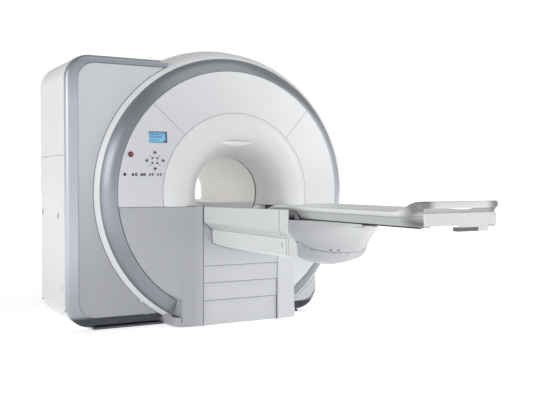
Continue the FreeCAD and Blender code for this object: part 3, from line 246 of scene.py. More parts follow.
# the band's near-black foot is painted shade and its pale middle painted reflection
band_silver = lacquered("band lacquer", (
    (0.085, (0.05, 0.055, 0.065)), (0.115, (0.40, 0.42, 0.46)), (0.6, SILVER_PALE),
    (1.75, SILVER_PALE), (2.05, SILVER_MID)))
nose_paint = moulded("blue grey nose", (0.39, 0.40, 0.43), rough=0.3,
                     fades=((Y, -1.62, -1.95, (0.66, 0.67, 0.67)),))
# the lower part of the tabletop's sides and the rising swoop at the foot end are darker: painted shade
table_gel = moulded("tabletop gel coat", (0.80, 0.82, 0.80), rough=0.28, grain=350.0,
                    fades=((Z, 0.978, 0.950, (0.46, 0.48, 0.465)),
                           (on_swoop_shade, 0.0, 1.0, (0.20, 0.205, 0.205))))
# the bore lining darkens towards the top as painted shade; its faint glow is painted light
liner_matt = moulded("bore lining", (0.83, 0.82, 0.80), rough=0.5, coat=0.0,
                     fades=((Z, 0.98, 1.22, (0.69, 0.68, 0.66)),))
liner_matt.painted_glow((1.0, 0.97, 0.92), 0.1)
deck_grey = moulded("arm deck", (0.30, 0.31, 0.32), rough=0.5, coat=0.0)
# near-black in the joints, gaps, vents and slots is painted shade; the nose studs are dark themselves
gap_shade_dark = moulded("painted gap shade and dark studs", (0.10, 0.105, 0.11), rough=0.6, coat=0.0)
# dark grey: painted shade on the joint, step and seam lines and in the slots, and the own colour of screws
# and latches
joint_shade_and_fittings = moulded("painted joint shade and fittings", (0.26, 0.265, 0.275), rough=0.6, coat=0.0)
# the seal ring at the bore's mouth is near-black as a seal and as painted shade in that gap
seal_and_gap_shade = moulded("dark seal and gap shade", (0.012, 0.012, 0.014), rough=0.6, coat=0.0, depth=0.0003)
steel_plate = machined("machined steel", (0.55, 0.56, 0.58), 0.25, (1.0, 30.0, 1.0))
vessel_steel = machined("rolled steel", (0.50, 0.51, 0.53), 0.35, (1.0, 12.0, 1.0))
frame_coat = moulded("frame powder coat", (0.10, 0.105, 0.12), rough=0.5, coat=0.0, grain=500.0,
                     depth=0.0003)
resin = moulded("coil resin", (0.45, 0.22, 0.06), rough=0.35, drift=0.75)
key_cap = moulded("key caps", (0.02, 0.021, 0.025), rough=0.4)
red_cap = moulded("stop button", (0.12, 0.008, 0.012), rough=0.22, coat=0.5)
belt_black = moulded("belt", (0.015, 0.015, 0.016), rough=0.7, coat=0.0, grain=220.0, depth=0.0006)
# the brow glazing's glow is a painted highlight, and the grey line over it a painted shadow
lens_white = moulded("brow glazing with painted glow", (0.92, 0.925, 0.93), rough=0.12, coat=0.6)
lens_white.painted_glow((1.0, 1.0, 1.0), 0.12)
brow_shadow_grey = moulded("painted brow shadow", (0.42, 0.43, 0.44), rough=0.4)
lens_tint = moulded("lens bars", (0.62, 0.61, 0.60), rough=0.12, coat=0.6)
screen = moulded("display", (0.25, 0.56, 0.85), rough=0.15, coat=0.8,
                 fades=((Z, 1.487, 1.513, (0.16, 0.42, 0.72)),))
key_print = moulded("key print", (0.012, 0.013, 0.016), rough=0.5, coat=0.0)
pale_print = moulded("stop mark", (0.42, 0.26, 0.27), rough=0.4)
bezel_grey = moulded("display bezel", (0.07, 0.08, 0.10), rough=0.3)
display_ink = moulded("display figures", (0.02, 0.09, 0.30), rough=0.3)

FINISH_OF = {
    covers: "front_funnel rear_funnel drum_cover rear_cover",
    apron_white: "left_apron right_apron kick_panels",
    slat_white: "bottom_slat lower_slat upper_slat lift_cover foot_cover",
    arm_white: "arm_cover_left arm_cover_right arm_collar",
    wall_white: "arm_belly",
    face_white: "upper_face_panel left_face_panel right_face_panel control_board",
    side_covers: "housing_upper_cover housing_lower_cover",
    panel_grey: "housing_front_panel",
    ring_silver: "ring_trim",
    band_silver: "band_trim",
    nose_paint: "nose_cover nose_chin",
    table_gel: "tabletop",
    plate_white: "end_plate bore_bridge",
    liner_matt: "bore_liner slot_wall",
    deck_grey: "arm_deck",
    seal_and_gap_shade: "bore_seal",
    steel_plate: "cold_head lift_barrel lift_stage lift_rod drive_pulley relay_pulley",
    vessel_steel: "vacuum_vessel helium_vessel",
    frame_coat: "base_frame pedestal_frame arm_frame cover_standoffs rf_cabinet drive_motor",
    resin: "main_coils gradient_coil body_coil",
    key_cap: "up_key down_key left_key right_key",
    red_cap: "stop_button",
    belt_black: "sync_belt drive_strip",
    lens_tint: "laser_windows",
    screen: "display_screen",
}
for finish, names in FINISH_OF.items():
    for name in names.split():
        NODES[name].data.materials.clear()
        NODES[name].data.materials.append(finish.material)


# ---- Camera, floor and light ----

CAMERA_PLACE = (-2.8925, -5.8702, 1.1489)
CAMERA_DIP, CAMERA_TURN = 1.413, -29.10      # degrees
CAMERA_LENS, CAMERA_SENSOR = 52.75, 36.0     # millimetres
FLOOR_REACH = 60
WORLD_STRENGTH = 0.57
# name, place, aim, size, watts, tint
LAMPS = (
    ("left key", (-6.5, -1.5, 3.0), (-1.0, 0.3, 1.1), (3.5, 3.0), 80, (1, 1, 1)),
    ("right fill", (5.5, -4.0, 3.2), (0.4, -0.8, 1.0), (3.0, 3.0), 92, (1, 1, 1)),
    ("bore light", (0, 0.55, 1.34), (0, 0.55, 1.0), (0.22, 0.9), 1.1, (1.0, 0.985, 0.96)),
    ("top light", (0.5, -1.8, 4.6), (0.2, -0.8, 1.0), (3.5, 3.5), 26, (1, 1, 1)),
)


def add(name, data):
    made = bpy.data.objects.new(name, data)
    bpy.context.scene.collection.objects.link(made)
    return made


def make_camera():
    camera = add("camera", bpy.data.cameras.new("camera"))
    camera.location = CAMERA_PLACE
    camera.rotation_euler = (math.radians(90 - CAMERA_DIP), 0, math.radians(CAMERA_TURN))
    camera.data.lens, camera.data.sensor_width = CAMERA_LENS, CAMERA_SENSOR
    bpy.context.scene.camera = camera


def make_floor():
    """Pale floor that brightens away from the scanner."""
    mesh = bpy.data.meshes.new("floor")
    mesh.from_pydata([(x * FLOOR_REACH, y * FLOOR_REACH, 0) for x, y in ((-1, -1), (1, -1), (1, 1), (-1, 1))],
                     [], [(0, 1, 2, 3)])
    finish = Finish("floor", (0.9, 0.9, 0.9), Roughness=0.9, Specular_IOR_Level=0.1, Emission_Strength=1.0)
    far = finish.node("ShaderNodeVectorMath", {"operation": "LENGTH"}, [finish.place], "Value")
    finish.set("Emission Color", finish.blend(far.ramp(2.0, 6.0), (0.5, 0.5, 0.5), (0.9, 0.9, 0.9)))
    finish.set("Base Color", finish.blend(finish.noise(0.6), (0.9, 0.9, 0.9), (0.92, 0.92, 0.92)))
    mesh.materials.append(finish.material)
    add("floor", mesh)


def make_world():
    """White surroundings for the view, dimmer and cooler ones above for the light."""
    world = bpy.data.worlds.new("studio")
    sky = Nodes(world)
    sky.tree.nodes.remove(sky.tree.nodes["Background"])
    stops = [(at, (grey * 0.97, grey * 0.985, grey, 1.0)) for at, grey in ((0.05, 1.0), (0.85, 0.6))]
    way = sky.node("ShaderNodeTexCoord", {}, [], "Generated")
    tone = sky.node("ShaderNodeValToRGB", {"stops": stops}, [sky.node("ShaderNodeSeparateXYZ", {}, [way], Z)])
    lit = sky.node("ShaderNodeBackground", {}, [tone, WORLD_STRENGTH])
    seen = sky.node("ShaderNodeBackground", {}, [(1.0, 1.0, 1.0, 1.0), 1.0])
    to_camera = sky.node("ShaderNodeLightPath", {}, [], "Is Camera Ray")
    sky.feed(sky.tree.nodes["World Output"].inputs["Surface"],
             sky.node("ShaderNodeMixShader", {}, [to_camera, lit, seen]))
    bpy.context.scene.world = world
    bpy.context.scene.view_settings.view_transform = "Standard"


def make_lamps():
    for name, place, aim, size, power, tint in LAMPS:
        data = bpy.data.lights.new(name, "AREA")
        data.shape, data.size, data.size_y = "RECTANGLE", size[0], size[1]
        data.energy, data.color = power, tint
        lamp = add(name, data)
        lamp.location = place
        lamp.rotation_euler = (Vector(aim) - Vector(place)).to_track_quat("-Z", "Y").to_euler()
        lamp.visible_camera = name != "bore light"


make_camera()
make_floor()
make_world()
make_lamps()


# ---- Mesh helpers ----

def loft(rings):
    """A closed skin through rings of equally many points."""
    made = bmesh.new()
    rows = [[made.verts.new(p) for p in ring] for ring in rings]
    count = len(rings[0])
    for near, far in zip(rows, rows[1:]):
        for i in range(count):
            j = (i + 1) % count
            made.faces.new((near[i], near[j], far[j], far[i]))
    made.faces.new(rows[0][::-1])
    made.faces.new(rows[-1])
    bmesh.ops.recalc_face_normals(made, faces=made.faces)
    return made


def prisms(pairs):
    """Flat solids, each between two outlines of equally many points."""
    made = bmesh.new()
    for pair in pairs:
        front, back = ([made.verts.new(p) for p in outline] for outline in pair)
        made.faces.new(front)
        made.faces.new(back[::-1])
        for i in range(len(front)):
            j = (i + 1) % len(front)
            made.faces.new((front[i], back[i], back[j], front[j]))
    bmesh.ops.recalc_face_normals(made, faces=made.faces)
    return made


def solid_from(made, name, finish, sharp=30.0):
    """An object from mesh code, whose edges stay crisp above an angle in degrees."""
    for face in made.faces:
        face.smooth = True
    for edge in made.edges:
        if len(edge.link_faces) == 2 and edge.calc_face_angle(0.0) > math.radians(sharp):
            edge.smooth = False
    mesh = bpy.data.meshes.new(name)
    made.to_mesh(mesh)
    made.free()
    mesh.materials.append(finish.material)
    return add(name, mesh)


def fit(piece, body, slot, *replaced):
    """Where a piece rides and the nodes it stands for; slot, its slot in the record, is not used."""
    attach(piece, body)
    if replaced:
        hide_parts(*replaced)


def carve(piece, tool, operation):
    """The piece after a Boolean with a tool, which goes away."""
    step = piece.modifiers.new("carve", "BOOLEAN")
    step.operation, step.object, step.solver = operation, tool, "EXACT"
    graph = bpy.context.evaluated_depsgraph_get()
    mesh = bpy.data.meshes.new_from_object(piece.evaluated_get(graph))
    piece.modifiers.clear()
    piece.data = mesh
    bpy.data.objects.remove(tool)
    return piece


def glide(t):
    """Smooth step from 0 to 1."""
    t = max(0.0, min(1.0, t))
    return t * t * (3 - 2 * t)


def between(table, at):
    """A value read from a table of (place, value), straight between the rows."""
    for (x0, v0), (x1, v1) in zip(table, table[1:]):
        if at <= x1:
            return v0 + (v1 - v0) * max(0.0, (at - x0) / (x1 - x0))
    return table[-1][1]


def boxed(u0, u1, v0, v1):
    return [(u0, v0), (u1, v0), (u1, v1), (u0, v1)]


def disc(u, v, radius, steps=12):
    turns = [math.radians(360 * i / steps) for i in range(steps)]
    return [(u + radius * math.cos(t), v + radius * math.sin(t)) for t in turns]


def rounded_loop(u0, u1, v0, v1, radius, steps=6):
    """A rectangle with round corners, as points round it."""
    loop = []
    for cu, cv, start in ((u1 - radius, v1 - radius, 0), (u0 + radius, v1 - radius, 90),
                          (u0 + radius, v0 + radius, 180), (u1 - radius, v0 + radius, 270)):
        for i in range(steps + 1):
            turn = math.radians(start + 90 * i / steps)
            loop.append((cu + radius * math.cos(turn), cv + radius * math.sin(turn)))
    return loop


def plate(u, v, half_u, half_v, radius):
    """A small round-cornered plate about (u, v)."""
    return rounded_loop(u - half_u, u + half_u, v - half_v, v + half_v, radius, 4)


def turned_shape(points, x, z, degrees, size):
    """Points about the origin, turned, scaled and moved to (x, z)."""
    c, s = math.cos(math.radians(degrees)), math.sin(math.radians(degrees))
    return [(x + size * (u * c - v * s), z + size * (u * s + v * c)) for u, v in points]


def arc_strip(x, z, radius, width, start, end, steps=8):
    """A curved bar, as four-sided pieces."""
    strips = []
    for i in range(steps):
        a, b = (math.radians(start + (end - start) * k / steps) for k in (i, i + 1))
        strips.append([(x + r * math.cos(t), z + r * math.sin(t))
                       for r, t in ((radius, a), (radius, b), (radius + width, b), (radius + width, a))])
    return strips


def ribbon_over(xs, low, high):
    """Four-sided pieces between two lines that are functions of x."""
    return [[(a, low(a)), (b, low(b)), (b, high(b)), (a, high(a))] for a, b in zip(xs, xs[1:])]


def lathe(profile, x, z, name, finish, steps=40):
    """A turned piece about an axis along y; profile is (radius, y)."""
    turns = [2 * math.pi * i / steps for i in range(steps)]
    rings = [[(x + r * math.cos(t), y, z + r * math.sin(t)) for t in turns] for r, y in profile]
    return solid_from(loft(rings), name, finish, 35.0)


def skin_of(mesh):
    return BVHTree.FromPolygons([v.co for v in mesh.vertices], [f.vertices for f in mesh.polygons])


SKINS = {}


def front_of(node, x, z):
    """How far forward a node's front lies at a place, or just inside its edge."""
    if node not in SKINS:
        SKINS[node] = (skin_of(NODES[node].data), *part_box(node))
    skin, low, high = SKINS[node]
    for share in (0.0, 0.01, 0.03):
        u, v = x + share * ((low.x + high.x) / 2 - x), z + share * ((low.z + high.z) / 2 - z)
        place = skin.ray_cast(Vector((u, -4.0, v)), Vector((0, 1, 0)))[0]
        if place:
            return place.y
    return None


def face_of(node):
    """The node's front as a function of (x, z)."""
    return lambda x, z: front_of(node, x, z)


MARK_ROOT, INLAY_ROOT = 0.0004, 0.0015       # how far marks and inlays reach into a surface
LINE_RISE = 0.0006                           # how far joint lines stand out of it
SIDES = ((-1, "left"), (1, "right"))


def marks(name, shapes, front, finish, body, slot, lift=LINE_RISE):
    """Thin shapes of (x, z) that lie on a surface; front gives its y at a place."""
    pairs = []
    for shape in shapes:
        spots = [(x, front(x, z), z) for x, z in shape]
        pairs.append([[(x, y + out, z) for x, y, z in spots] for out in (-lift, MARK_ROOT)])
    fit(solid_from(prisms(pairs), name, finish), body, slot)


def inlay(name, outlines, origin, across, up, finish, body, slot, rise):
    """Flat plates on a plane: outlines are points (u, v) along the across and up directions."""
    across, up = Vector(across), Vector(up)
    out = across.cross(up).normalized()
    pairs = []
    for outline in outlines:
        flat = [Vector(origin) + u * across + v * up for u, v in outline]
        pairs.append([[p + out * rise for p in flat], [p - out * INLAY_ROOT for p in flat]])
    fit(solid_from(prisms(pairs), name, finish), body, slot)


def strip(name, path, across, rises, finish, body, slot="seal"):
    """A thin strip along a path: across is half its width, rises its way out at each point."""
    across, rings = Vector(across), []
    for point, rise in zip(path, rises):
        p, out = Vector(point), Vector(rise)
        rings.append([p - across - out, p + across - out, p + across + out, p - across + out])
    fit(solid_from(loft(rings), name, finish), body, slot)


# ---- Nose of the arm ----

NOSE_LOW, NOSE_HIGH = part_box("nose_cover")
CHIN_LOW, CHIN_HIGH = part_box("nose_chin")
NOSE_START = max(NOSE_HIGH.y, CHIN_HIGH.y)
NOSE_LENGTH = NOSE_START - NOSE_LOW.y
NOSE_RIM = NOSE_HIGH.z
NOSE_KEEL = CHIN_LOW.z
NOSE_HALF = NOSE_HIGH.x
NOSE_SKIN = 0.007
NOSE_STEPS = 26
# half width and depth by the share of the nose's length, each as a share of the most
NOSE_WIDTH = ((0.0, 1.0), (0.09, 0.975), (0.19, 0.91), (0.40, 0.715), (0.60, 0.52), (0.76, 0.365),
              (0.88, 0.23), (0.96, 0.13), (1.0, 0.07))
NOSE_DEPTH = ((0.0, 1.0), (0.19, 0.945), (0.40, 0.80), (0.55, 0.64), (0.67, 0.47),
              (0.76, 0.34), (0.86, 0.23), (0.95, 0.15), (1.0, 0.10))
# section at the arm as shares of half width and depth; it eases into an oval towards the tip
NOSE_SECTION = ((1.0, 0.0), (1.0, 0.10), (0.998, 0.19), (0.98, 0.27), (0.93, 0.345), (0.86, 0.42),
                (0.815, 0.51), (0.80, 0.61), (0.79, 0.70), (0.755, 0.79), (0.67, 0.86),
                (0.52, 0.915), (0.35, 0.95), (0.17, 0.985), (0.0, 1.0))
OVAL_MOST, OVAL_RATE = 0.8, 1.5          # how much of an oval it becomes, and how soon
OVAL_SIDE, OVAL_KEEL = 1.9, 0.9          # powers of that oval
# the rim dips at the tip, between two places across, for the bracket under the foot end
RIM_DIP, DIP_LEFT, DIP_RIGHT, DIP_EASE = 0.024, -0.082, 0.212, 0.02
DIP_START, DIP_RATE = 0.5, 5             # share of the length where it starts, and how soon it is full
INNER_SHORTER = 1.6                      # the inner skin ends before the tip by this times the inset
NOSE_SEAM = ((0.02, 0.172), (-0.03, 0.158), (-0.09, 0.126), (-0.17, 0.104), (-0.26, 0.097),
             (-0.40, 0.102), (-0.70, 0.135))         # y from the start, height over the keel
SEAM_GAP = 0.002
TRAY_DROP, TRAY_THICK = 0.03, 0.004


def nose_ring(share, inset):
    """The nose's section at a share of its length, from its left rim under the keel to its right."""
    half = NOSE_HALF * between(NOSE_WIDTH, share) - inset
    deep = (NOSE_RIM - NOSE_KEEL) * between(NOSE_DEPTH, share) - inset
    y = NOSE_START - NOSE_LENGTH * share * (1.0 - inset * INNER_SHORTER)
    count = len(NOSE_SECTION) - 1
    oval = glide(share * OVAL_RATE) * OVAL_MOST
    ring = []
    for i in range(2 * count + 1):
        side, row = (-1.0 if i < count else 1.0), count - abs(count - i)
        wide, low = NOSE_SECTION[row]
        turn = math.pi / 2 * row / count
        wide += (math.cos(turn) ** OVAL_SIDE - wide) * oval
        low += (math.sin(turn) ** OVAL_KEEL - low) * oval
        x, dip = side * half * wide, 0.0
        if x <= DIP_RIGHT:
            dip = RIM_DIP * glide((share - DIP_START) * DIP_RATE) * glide((x - DIP_LEFT) / DIP_EASE)
        ring.append((x, y, NOSE_RIM - max(deep * low, dip)))
    return ring


def make_nose():
    """Upper and lower shell, parted along a curved seam, and the tray inside the rim."""
    shares = [i / NOSE_STEPS for i in range(NOSE_STEPS + 1)]
    rings = [nose_ring(s, 0.0) + nose_ring(s, NOSE_SKIN)[::-1] for s in shares]
    for name, node, gap, operation in (("nose_upper", "nose_cover", 0.0, "DIFFERENCE"),
                                       ("nose_lower", "nose_chin", SEAM_GAP, "INTERSECT")):
        line = [(NOSE_START + dy, NOSE_KEEL + rise - gap) for dy, rise in NOSE_SEAM]
        line += [(line[-1][0], NOSE_KEEL - 0.1), (line[0][0], NOSE_KEEL - 0.1)]
        tool = loft([[(x, y, z) for y, z in line] for x in (-0.6, 0.6)])
        half = solid_from(loft(rings), name, nose_paint, 50.0)
        fit(carve(half, solid_from(tool, "seam tool", nose_paint), operation), "lift", "nose_grey", node)
    top, bottom = NOSE_RIM - TRAY_DROP, NOSE_RIM - TRAY_DROP - TRAY_THICK
    rings = []
    for share in shares[:-2]:
        ring = nose_ring(share, NOSE_SKIN + 0.0005)
        (x0, y, _), (x1, _, _) = ring[0], ring[-1]
        rings.append([(x0, y, top), (x1, y, top), (x1, y, bottom), (x0, y, bottom)])
    fit(solid_from(loft(rings), "nose_tray", deck_grey, 32.0), "lift", "grey_panel")


# ---- Tabletop ----

TOP_LOW, TOP_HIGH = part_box("tabletop")
BOARD_END = TOP_LOW.y + 0.015
DECK_Z = 0.984            # upper face of the tabletop
UNDER_Z = 0.973
CHANNEL_X = 0.2061
SWOOP_START = 0.240       # where the edges start to rise, from the foot end
SWOOP_END = 0.012
HEAD_RAMP = 0.112
HEAD_DROP = 0.029
PLAIN_YS = [-1.45, -1.75, -2.05, -2.35]     # stations where the section stays the same
SWOOP_STEP = 0.0125
STEP_ROW = 13             # the section's point above the long step line
HANDLE_LOW = 1.005
HANDLE_DEPTH = 0.042
HANDLE_ROUND = 0.0072
HANDLE_ENDS = ((-0.266, 0.012), (-0.264, 0.006), (-0.258, 0.002), (-0.246, 0.0))   # x, inset


def tabletop_ring(y):
    """Half section as (x, z), from the middle of the top round the edge to the middle below."""
    most = TOP_HIGH.z - DECK_Z
    rise = most * glide((BOARD_END + SWOOP_START - y) / (SWOOP_START - SWOOP_END))
    share = rise / most
    drop = HEAD_DROP * max(0.0, (y - TOP_HIGH.y + HEAD_RAMP) / HEAD_RAMP)
    top, half, low, pull = DECK_Z - drop, TOP_HIGH.x, TOP_LOW.z, 0.016 * share
    middle = max(top, UNDER_Z + 0.0012)
    section = [
        (0.0, middle), (0.09, middle), (0.18, middle), (CHANNEL_X + 0.0024, middle),
        (CHANNEL_X + 0.0054, top), (half - 0.034, top), (half - 0.026, top + 0.0015 + 0.2 * rise),
        (half - 0.021, top + 0.003 + 0.72 * rise - 0.003 * share), (half - 0.015, top + rise),
        (half - 0.006, top + rise), (half - 0.0012, top + rise - 0.0035),
        (half - 0.0005 - 0.2 * pull, top - 0.010 + 0.9 * rise),
        (half - 0.0025 - 0.7 * pull, top - 0.017 + 0.62 * rise),
        (half - 0.0065 - pull, top - 0.026 + 0.32 * rise),
        (half - 0.0095 - pull, top - 0.036 + 0.1 * rise),
        (half - 0.0105 - 0.6 * pull, low + 0.030), (half - 0.0125, low + 0.013),
        (half - 0.016, low + 0.004), (half - 0.021, low), (CHANNEL_X, low),
        (CHANNEL_X, UNDER_Z), (0.09, UNDER_Z), (0.0, UNDER_Z),
    ]
    return [(x, min(z, TOP_HIGH.z)) for x, z in section]


def make_tabletop():
    """One skin from the head's slope to the rising foot end, and the bar across that end."""
    ramp, rise = TOP_HIGH.y - HEAD_RAMP, BOARD_END + SWOOP_START + 0.02
    ys = [TOP_HIGH.y, TOP_HIGH.y - 0.004] + [ramp - 0.01 * i for i in range(3)]
    ys += PLAIN_YS + [rise - i * SWOOP_STEP for i in range(21)]
    rings = []
    for y in [v for v in ys if v > BOARD_END] + [BOARD_END]:
        half = tabletop_ring(y)
        rings.append([(x, y, z) for x, z in half] + [(-x, y, z) for x, z in half[-2:0:-1]])
    fit(solid_from(loft(rings), "tabletop_shell", table_gel, 38.0), "tabletop", "table_shell", "tabletop")
    foot = TOP_LOW.y
    ends = [(x, rounded_loop(foot + inset, foot + HANDLE_DEPTH, HANDLE_LOW + inset,
                             TOP_HIGH.z - inset * 0.6, HANDLE_ROUND)) for x, inset in HANDLE_ENDS]
    ends += [(-x, loop) for x, loop in ends[::-1]]
    bar = loft([[(x, y, z) for y, z in loop] for x, loop in ends])
    fit(solid_from(bar, "end_handle_bar", handle_paint, 40.0), "tabletop", "table_shell")


def make_fascia_lines():
    """Long step line on both sides of the tabletop, dark as painted shade in the step."""
    ys = [TOP_HIGH.y - HEAD_RAMP - 0.02 - 0.05 * i for i in range(26)]
    ys += [ys[-1] - SWOOP_STEP * (i + 1) for i in range(18)]
    for side, tag in SIDES:
        path = []
        for y in ys:
            (x0, z0), (x1, z1) = tabletop_ring(y)[STEP_ROW:STEP_ROW + 2]
            path.append((side * (x0 + x1) / 2, y, (z0 + z1) / 2))
        strip("fascia_line_" + tag, path, (0, 0, 0.0014), [(side * LINE_RISE, 0, 0)] * len(path), joint_shade_and_fittings,
              "tabletop")


# ---- Joint lines on the pedestal and the arm, drawn dark as painted shade in the gaps ----

SLAT_LINE = 0.0022        # half height of the lines between the slats
ARM_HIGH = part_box("arm_collar")[1]
COVER_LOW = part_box("arm_cover_left")[0]
BELLY_LOW, BELLY_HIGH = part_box("arm_belly")
# left half of the arm's section as (half width, z), from its top to the middle below
ARM_SIDE = [(0.335, 0.9605), (0.335, 0.820), (0.265, 0.7655), (0.262, 0.655), (0.15, 0.618), (0.0, 0.592)]
BELLY_SIDE = ARM_SIDE[2:]
ARM_HEART = 0.80          # the arm's middle height, from which its skin faces outwards


def make_slat_lines():
    for node, body in (("lift_cover", "lift"), ("upper_slat", "upper_slat"), ("lower_slat", "lower_slat")):
        low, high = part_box(node)
        ends = [(x, low.y, low.z + SLAT_LINE) for x in (low.x + 0.001, high.x - 0.001)]
        strip(node + "_line", ends, (0, 0, SLAT_LINE), [(0, -LINE_RISE, 0)] * 2, joint_shade_and_fittings, body)
    low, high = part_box("right_apron")
    for (side, tag), finish, short in zip(SIDES, (gap_shade_dark, joint_shade_and_fittings), (0.001, 0.016)):
        ends = [(side * (low.x + 0.0024), low.y, z) for z in (low.z + 0.001, high.z - short)]
        strip("slot_line_" + tag, ends, (0.0020, 0, 0), [(0, -LINE_RISE, 0)] * 2, finish, "gantry")


def girth(side, y, rise):
    """Points and outward rises round the arm's section at y, from its left to its right."""
    path = [(-x, z) for x, z in side] + side[-2::-1]
    points, rises = [], []
    for i, (x, z) in enumerate(path):
        before, after = path[max(i - 1, 0)], path[min(i + 1, len(path) - 1)]
        along = Vector((after[0] - before[0], 0, after[1] - before[1])).normalized()
        out = Vector((0, 1, 0)).cross(along) * rise
        points.append((x, y, z))
        rises.append(-out if out.dot(Vector((x, 0, z - ARM_HEART))) < 0 else out)
    return points, rises


def make_arm_lines():
    for name, side, y, rise, half, finish, slot in (
            ("arm_joint", ARM_SIDE, (COVER_LOW.y + ARM_HIGH.y) / 2, LINE_RISE, 0.0020, gap_shade_dark, "seal"),
            ("belly_fillet", BELLY_SIDE, (BELLY_LOW.y + ARM_HIGH.y) / 2, 0.0009,
             (BELLY_LOW.y - ARM_HIGH.y) / 2 - 0.0004, wall_white, "white_cover"),
            ("belly_joint", BELLY_SIDE, BELLY_LOW.y + 0.0005, 0.0014, 0.0016, gap_shade_dark, "seal"),
            ("arm_root_seal", ARM_SIDE, BELLY_HIGH.y - 0.0045, 0.0024, 0.0022, gap_shade_dark, "seal")):
        points, rises = girth(side, y, rise)
        strip(name, points, (0, half, 0), rises, finish, "lift", slot)


# ---- Fasteners, latches and vents ----

LATCHES = ((0.74, 0.89), (0.24, 0.875))       # y, z
COVER_SCREW_X, COVER_SCREW_Z = 0.290, 0.688
SIDE_SCREW_Y, SIDE_SCREW_ZS = 0.09, (1.255, 0.14, 1.41)       # the last is on the upper cover
NOSE_STUDS = ((-1.750, 0.709), (-1.780, 0.708))
ARM_SCREW_YS, ARM_SLOT_Y = (-1.405, -1.465), -1.362
VENT_ROWS, VENT_STEP, VENT_Z, VENT_X = 12, 0.024, 0.6255, 0.73
HATCH_X, HATCH_Z, HATCH_GAP = 0.30, 0.12, 0.004               # half sizes, gap round it
HATCH_MIDDLE = 0.22
# outline of the cheeks beside the tabletop as (y, z): the foot, the steps and the back
UPSTAND = ((-1.556, 0.898), (-1.606, 0.899), (-1.600, 0.913), (-1.586, 0.917), (-1.578, 0.931),
           (-1.562, 0.936), (-1.548, 0.951), (-1.540, 0.951), (-1.540, 0.898))
UPSTAND_X = 0.2735


def make_cover_screws():
    spots = [disc(x, COVER_SCREW_Z, 0.006) for x in (-COVER_SCREW_X, COVER_SCREW_X)]
    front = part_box("lift_cover")[0].y
    inlay("cover_screws", spots, (0, front, 0), (1, 0, 0), (0, 0, 1), joint_shade_and_fittings, "lift", "steel", 0.0014)


def make_nose_studs():
    """Two small dark studs by the nose's joint, on both flanks."""
    skins = [skin_of(bpy.data.objects[half].data) for half in ("nose_upper", "nose_lower")]
    for side, tag in SIDES:
        for i, (y, z) in enumerate(NOSE_STUDS):
            hits = [skin.ray_cast(Vector((side, y, z)), Vector((-side, 0, 0))) for skin in skins]
            place, out = next((hit[0], hit[1]) for hit in hits if hit[0])
            across = out.cross(Vector((0, 0, 1))).normalized()
            up = out.cross(across).normalized()
            inlay("nose_stud_%s_%d" % (tag, i), [plate(0, 0, 0.009, 0.005, 0.0045)], place, across, up,
                  gap_shade_dark, "lift", "seal", 0.0012)


def make_upstands():
    """Stepped cheeks beside the tabletop where it leaves the arm's end."""
    for side, tag in SIDES:
        outline = [(side * y, z) for y, z in UPSTAND]
        inlay("end_upstand_" + tag, [outline], (side * UPSTAND_X, 0, 0), (0, side, 0), (0, 0, 1),
              nose_paint, "lift", "nose_grey", 0.003)
        edge = [(side * (UPSTAND_X + 0.0015), y - 0.0005, z) for y, z in UPSTAND[1:8]]
        strip("upstand_edge_" + tag, edge, (0, 0.0022, 0.0022), [(side * 0.0022, 0, 0)] * len(edge),
              gap_shade_dark, "lift")


def make_side_fittings():
    """Latches, a service slot and screws on the left side covers."""
    latches = [plate(-y, z, 0.008, 0.022, 0.006) for y, z in LATCHES]
    latch_slots = [plate(-y, z, 0.002, 0.012, 0.0018) for y, z in LATCHES]
    screws = [disc(-SIDE_SCREW_Y, z, 0.005) for z in SIDE_SCREW_ZS]
    lower, upper = (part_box(node)[0].x for node in ("housing_lower_cover", "housing_upper_cover"))
    for name, x, outlines, finish, slot, rise in (
            ("side_latches", lower, latches, joint_shade_and_fittings, "grey_panel", 0.003),
            ("side_latch_slots", lower, latch_slots, gap_shade_dark, "seal", 0.0035),
            ("side_slot", lower, [plate(-0.14, 0.32, 0.004, 0.03, 0.003)], joint_shade_and_fittings, "seal", 0.0008),
            ("side_screws", lower, screws[:2], joint_shade_and_fittings, "steel", 0.0012),
            ("side_upper_screws", upper, screws[2:], joint_shade_and_fittings, "steel", 0.0012)):
        inlay(name, outlines, (x, 0, 0), (0, -1, 0), (0, 0, 1), finish, "gantry", slot, rise)


def make_arm_fittings():
    """Screws and a slot by the arm's joint, on both sides."""
    (top_x, top_z), (foot_x, foot_z) = ARM_SIDE[1:3]
    for side, tag in SIDES:
        foot, across = Vector((side * foot_x, 0, foot_z)), (0, side, 0)
        up = (Vector((side * top_x, 0, top_z)) - foot).normalized()
        spots = [disc(side * y, 0.045, 0.0065) for y in ARM_SCREW_YS]
        inlay("arm_screws_" + tag, spots, foot, across, up, joint_shade_and_fittings, "lift", "steel", 0.0012)
        slot = plate(side * ARM_SLOT_Y, 0.017, 0.0025, 0.017, 0.002)
        lean = Vector((side * 0.003, 0, 0.11)).normalized()
        inlay("arm_slot_" + tag, [slot], (side * 0.2637, 0, 0.70), across, lean, joint_shade_and_fittings, "lift", "steel",
              0.0014)


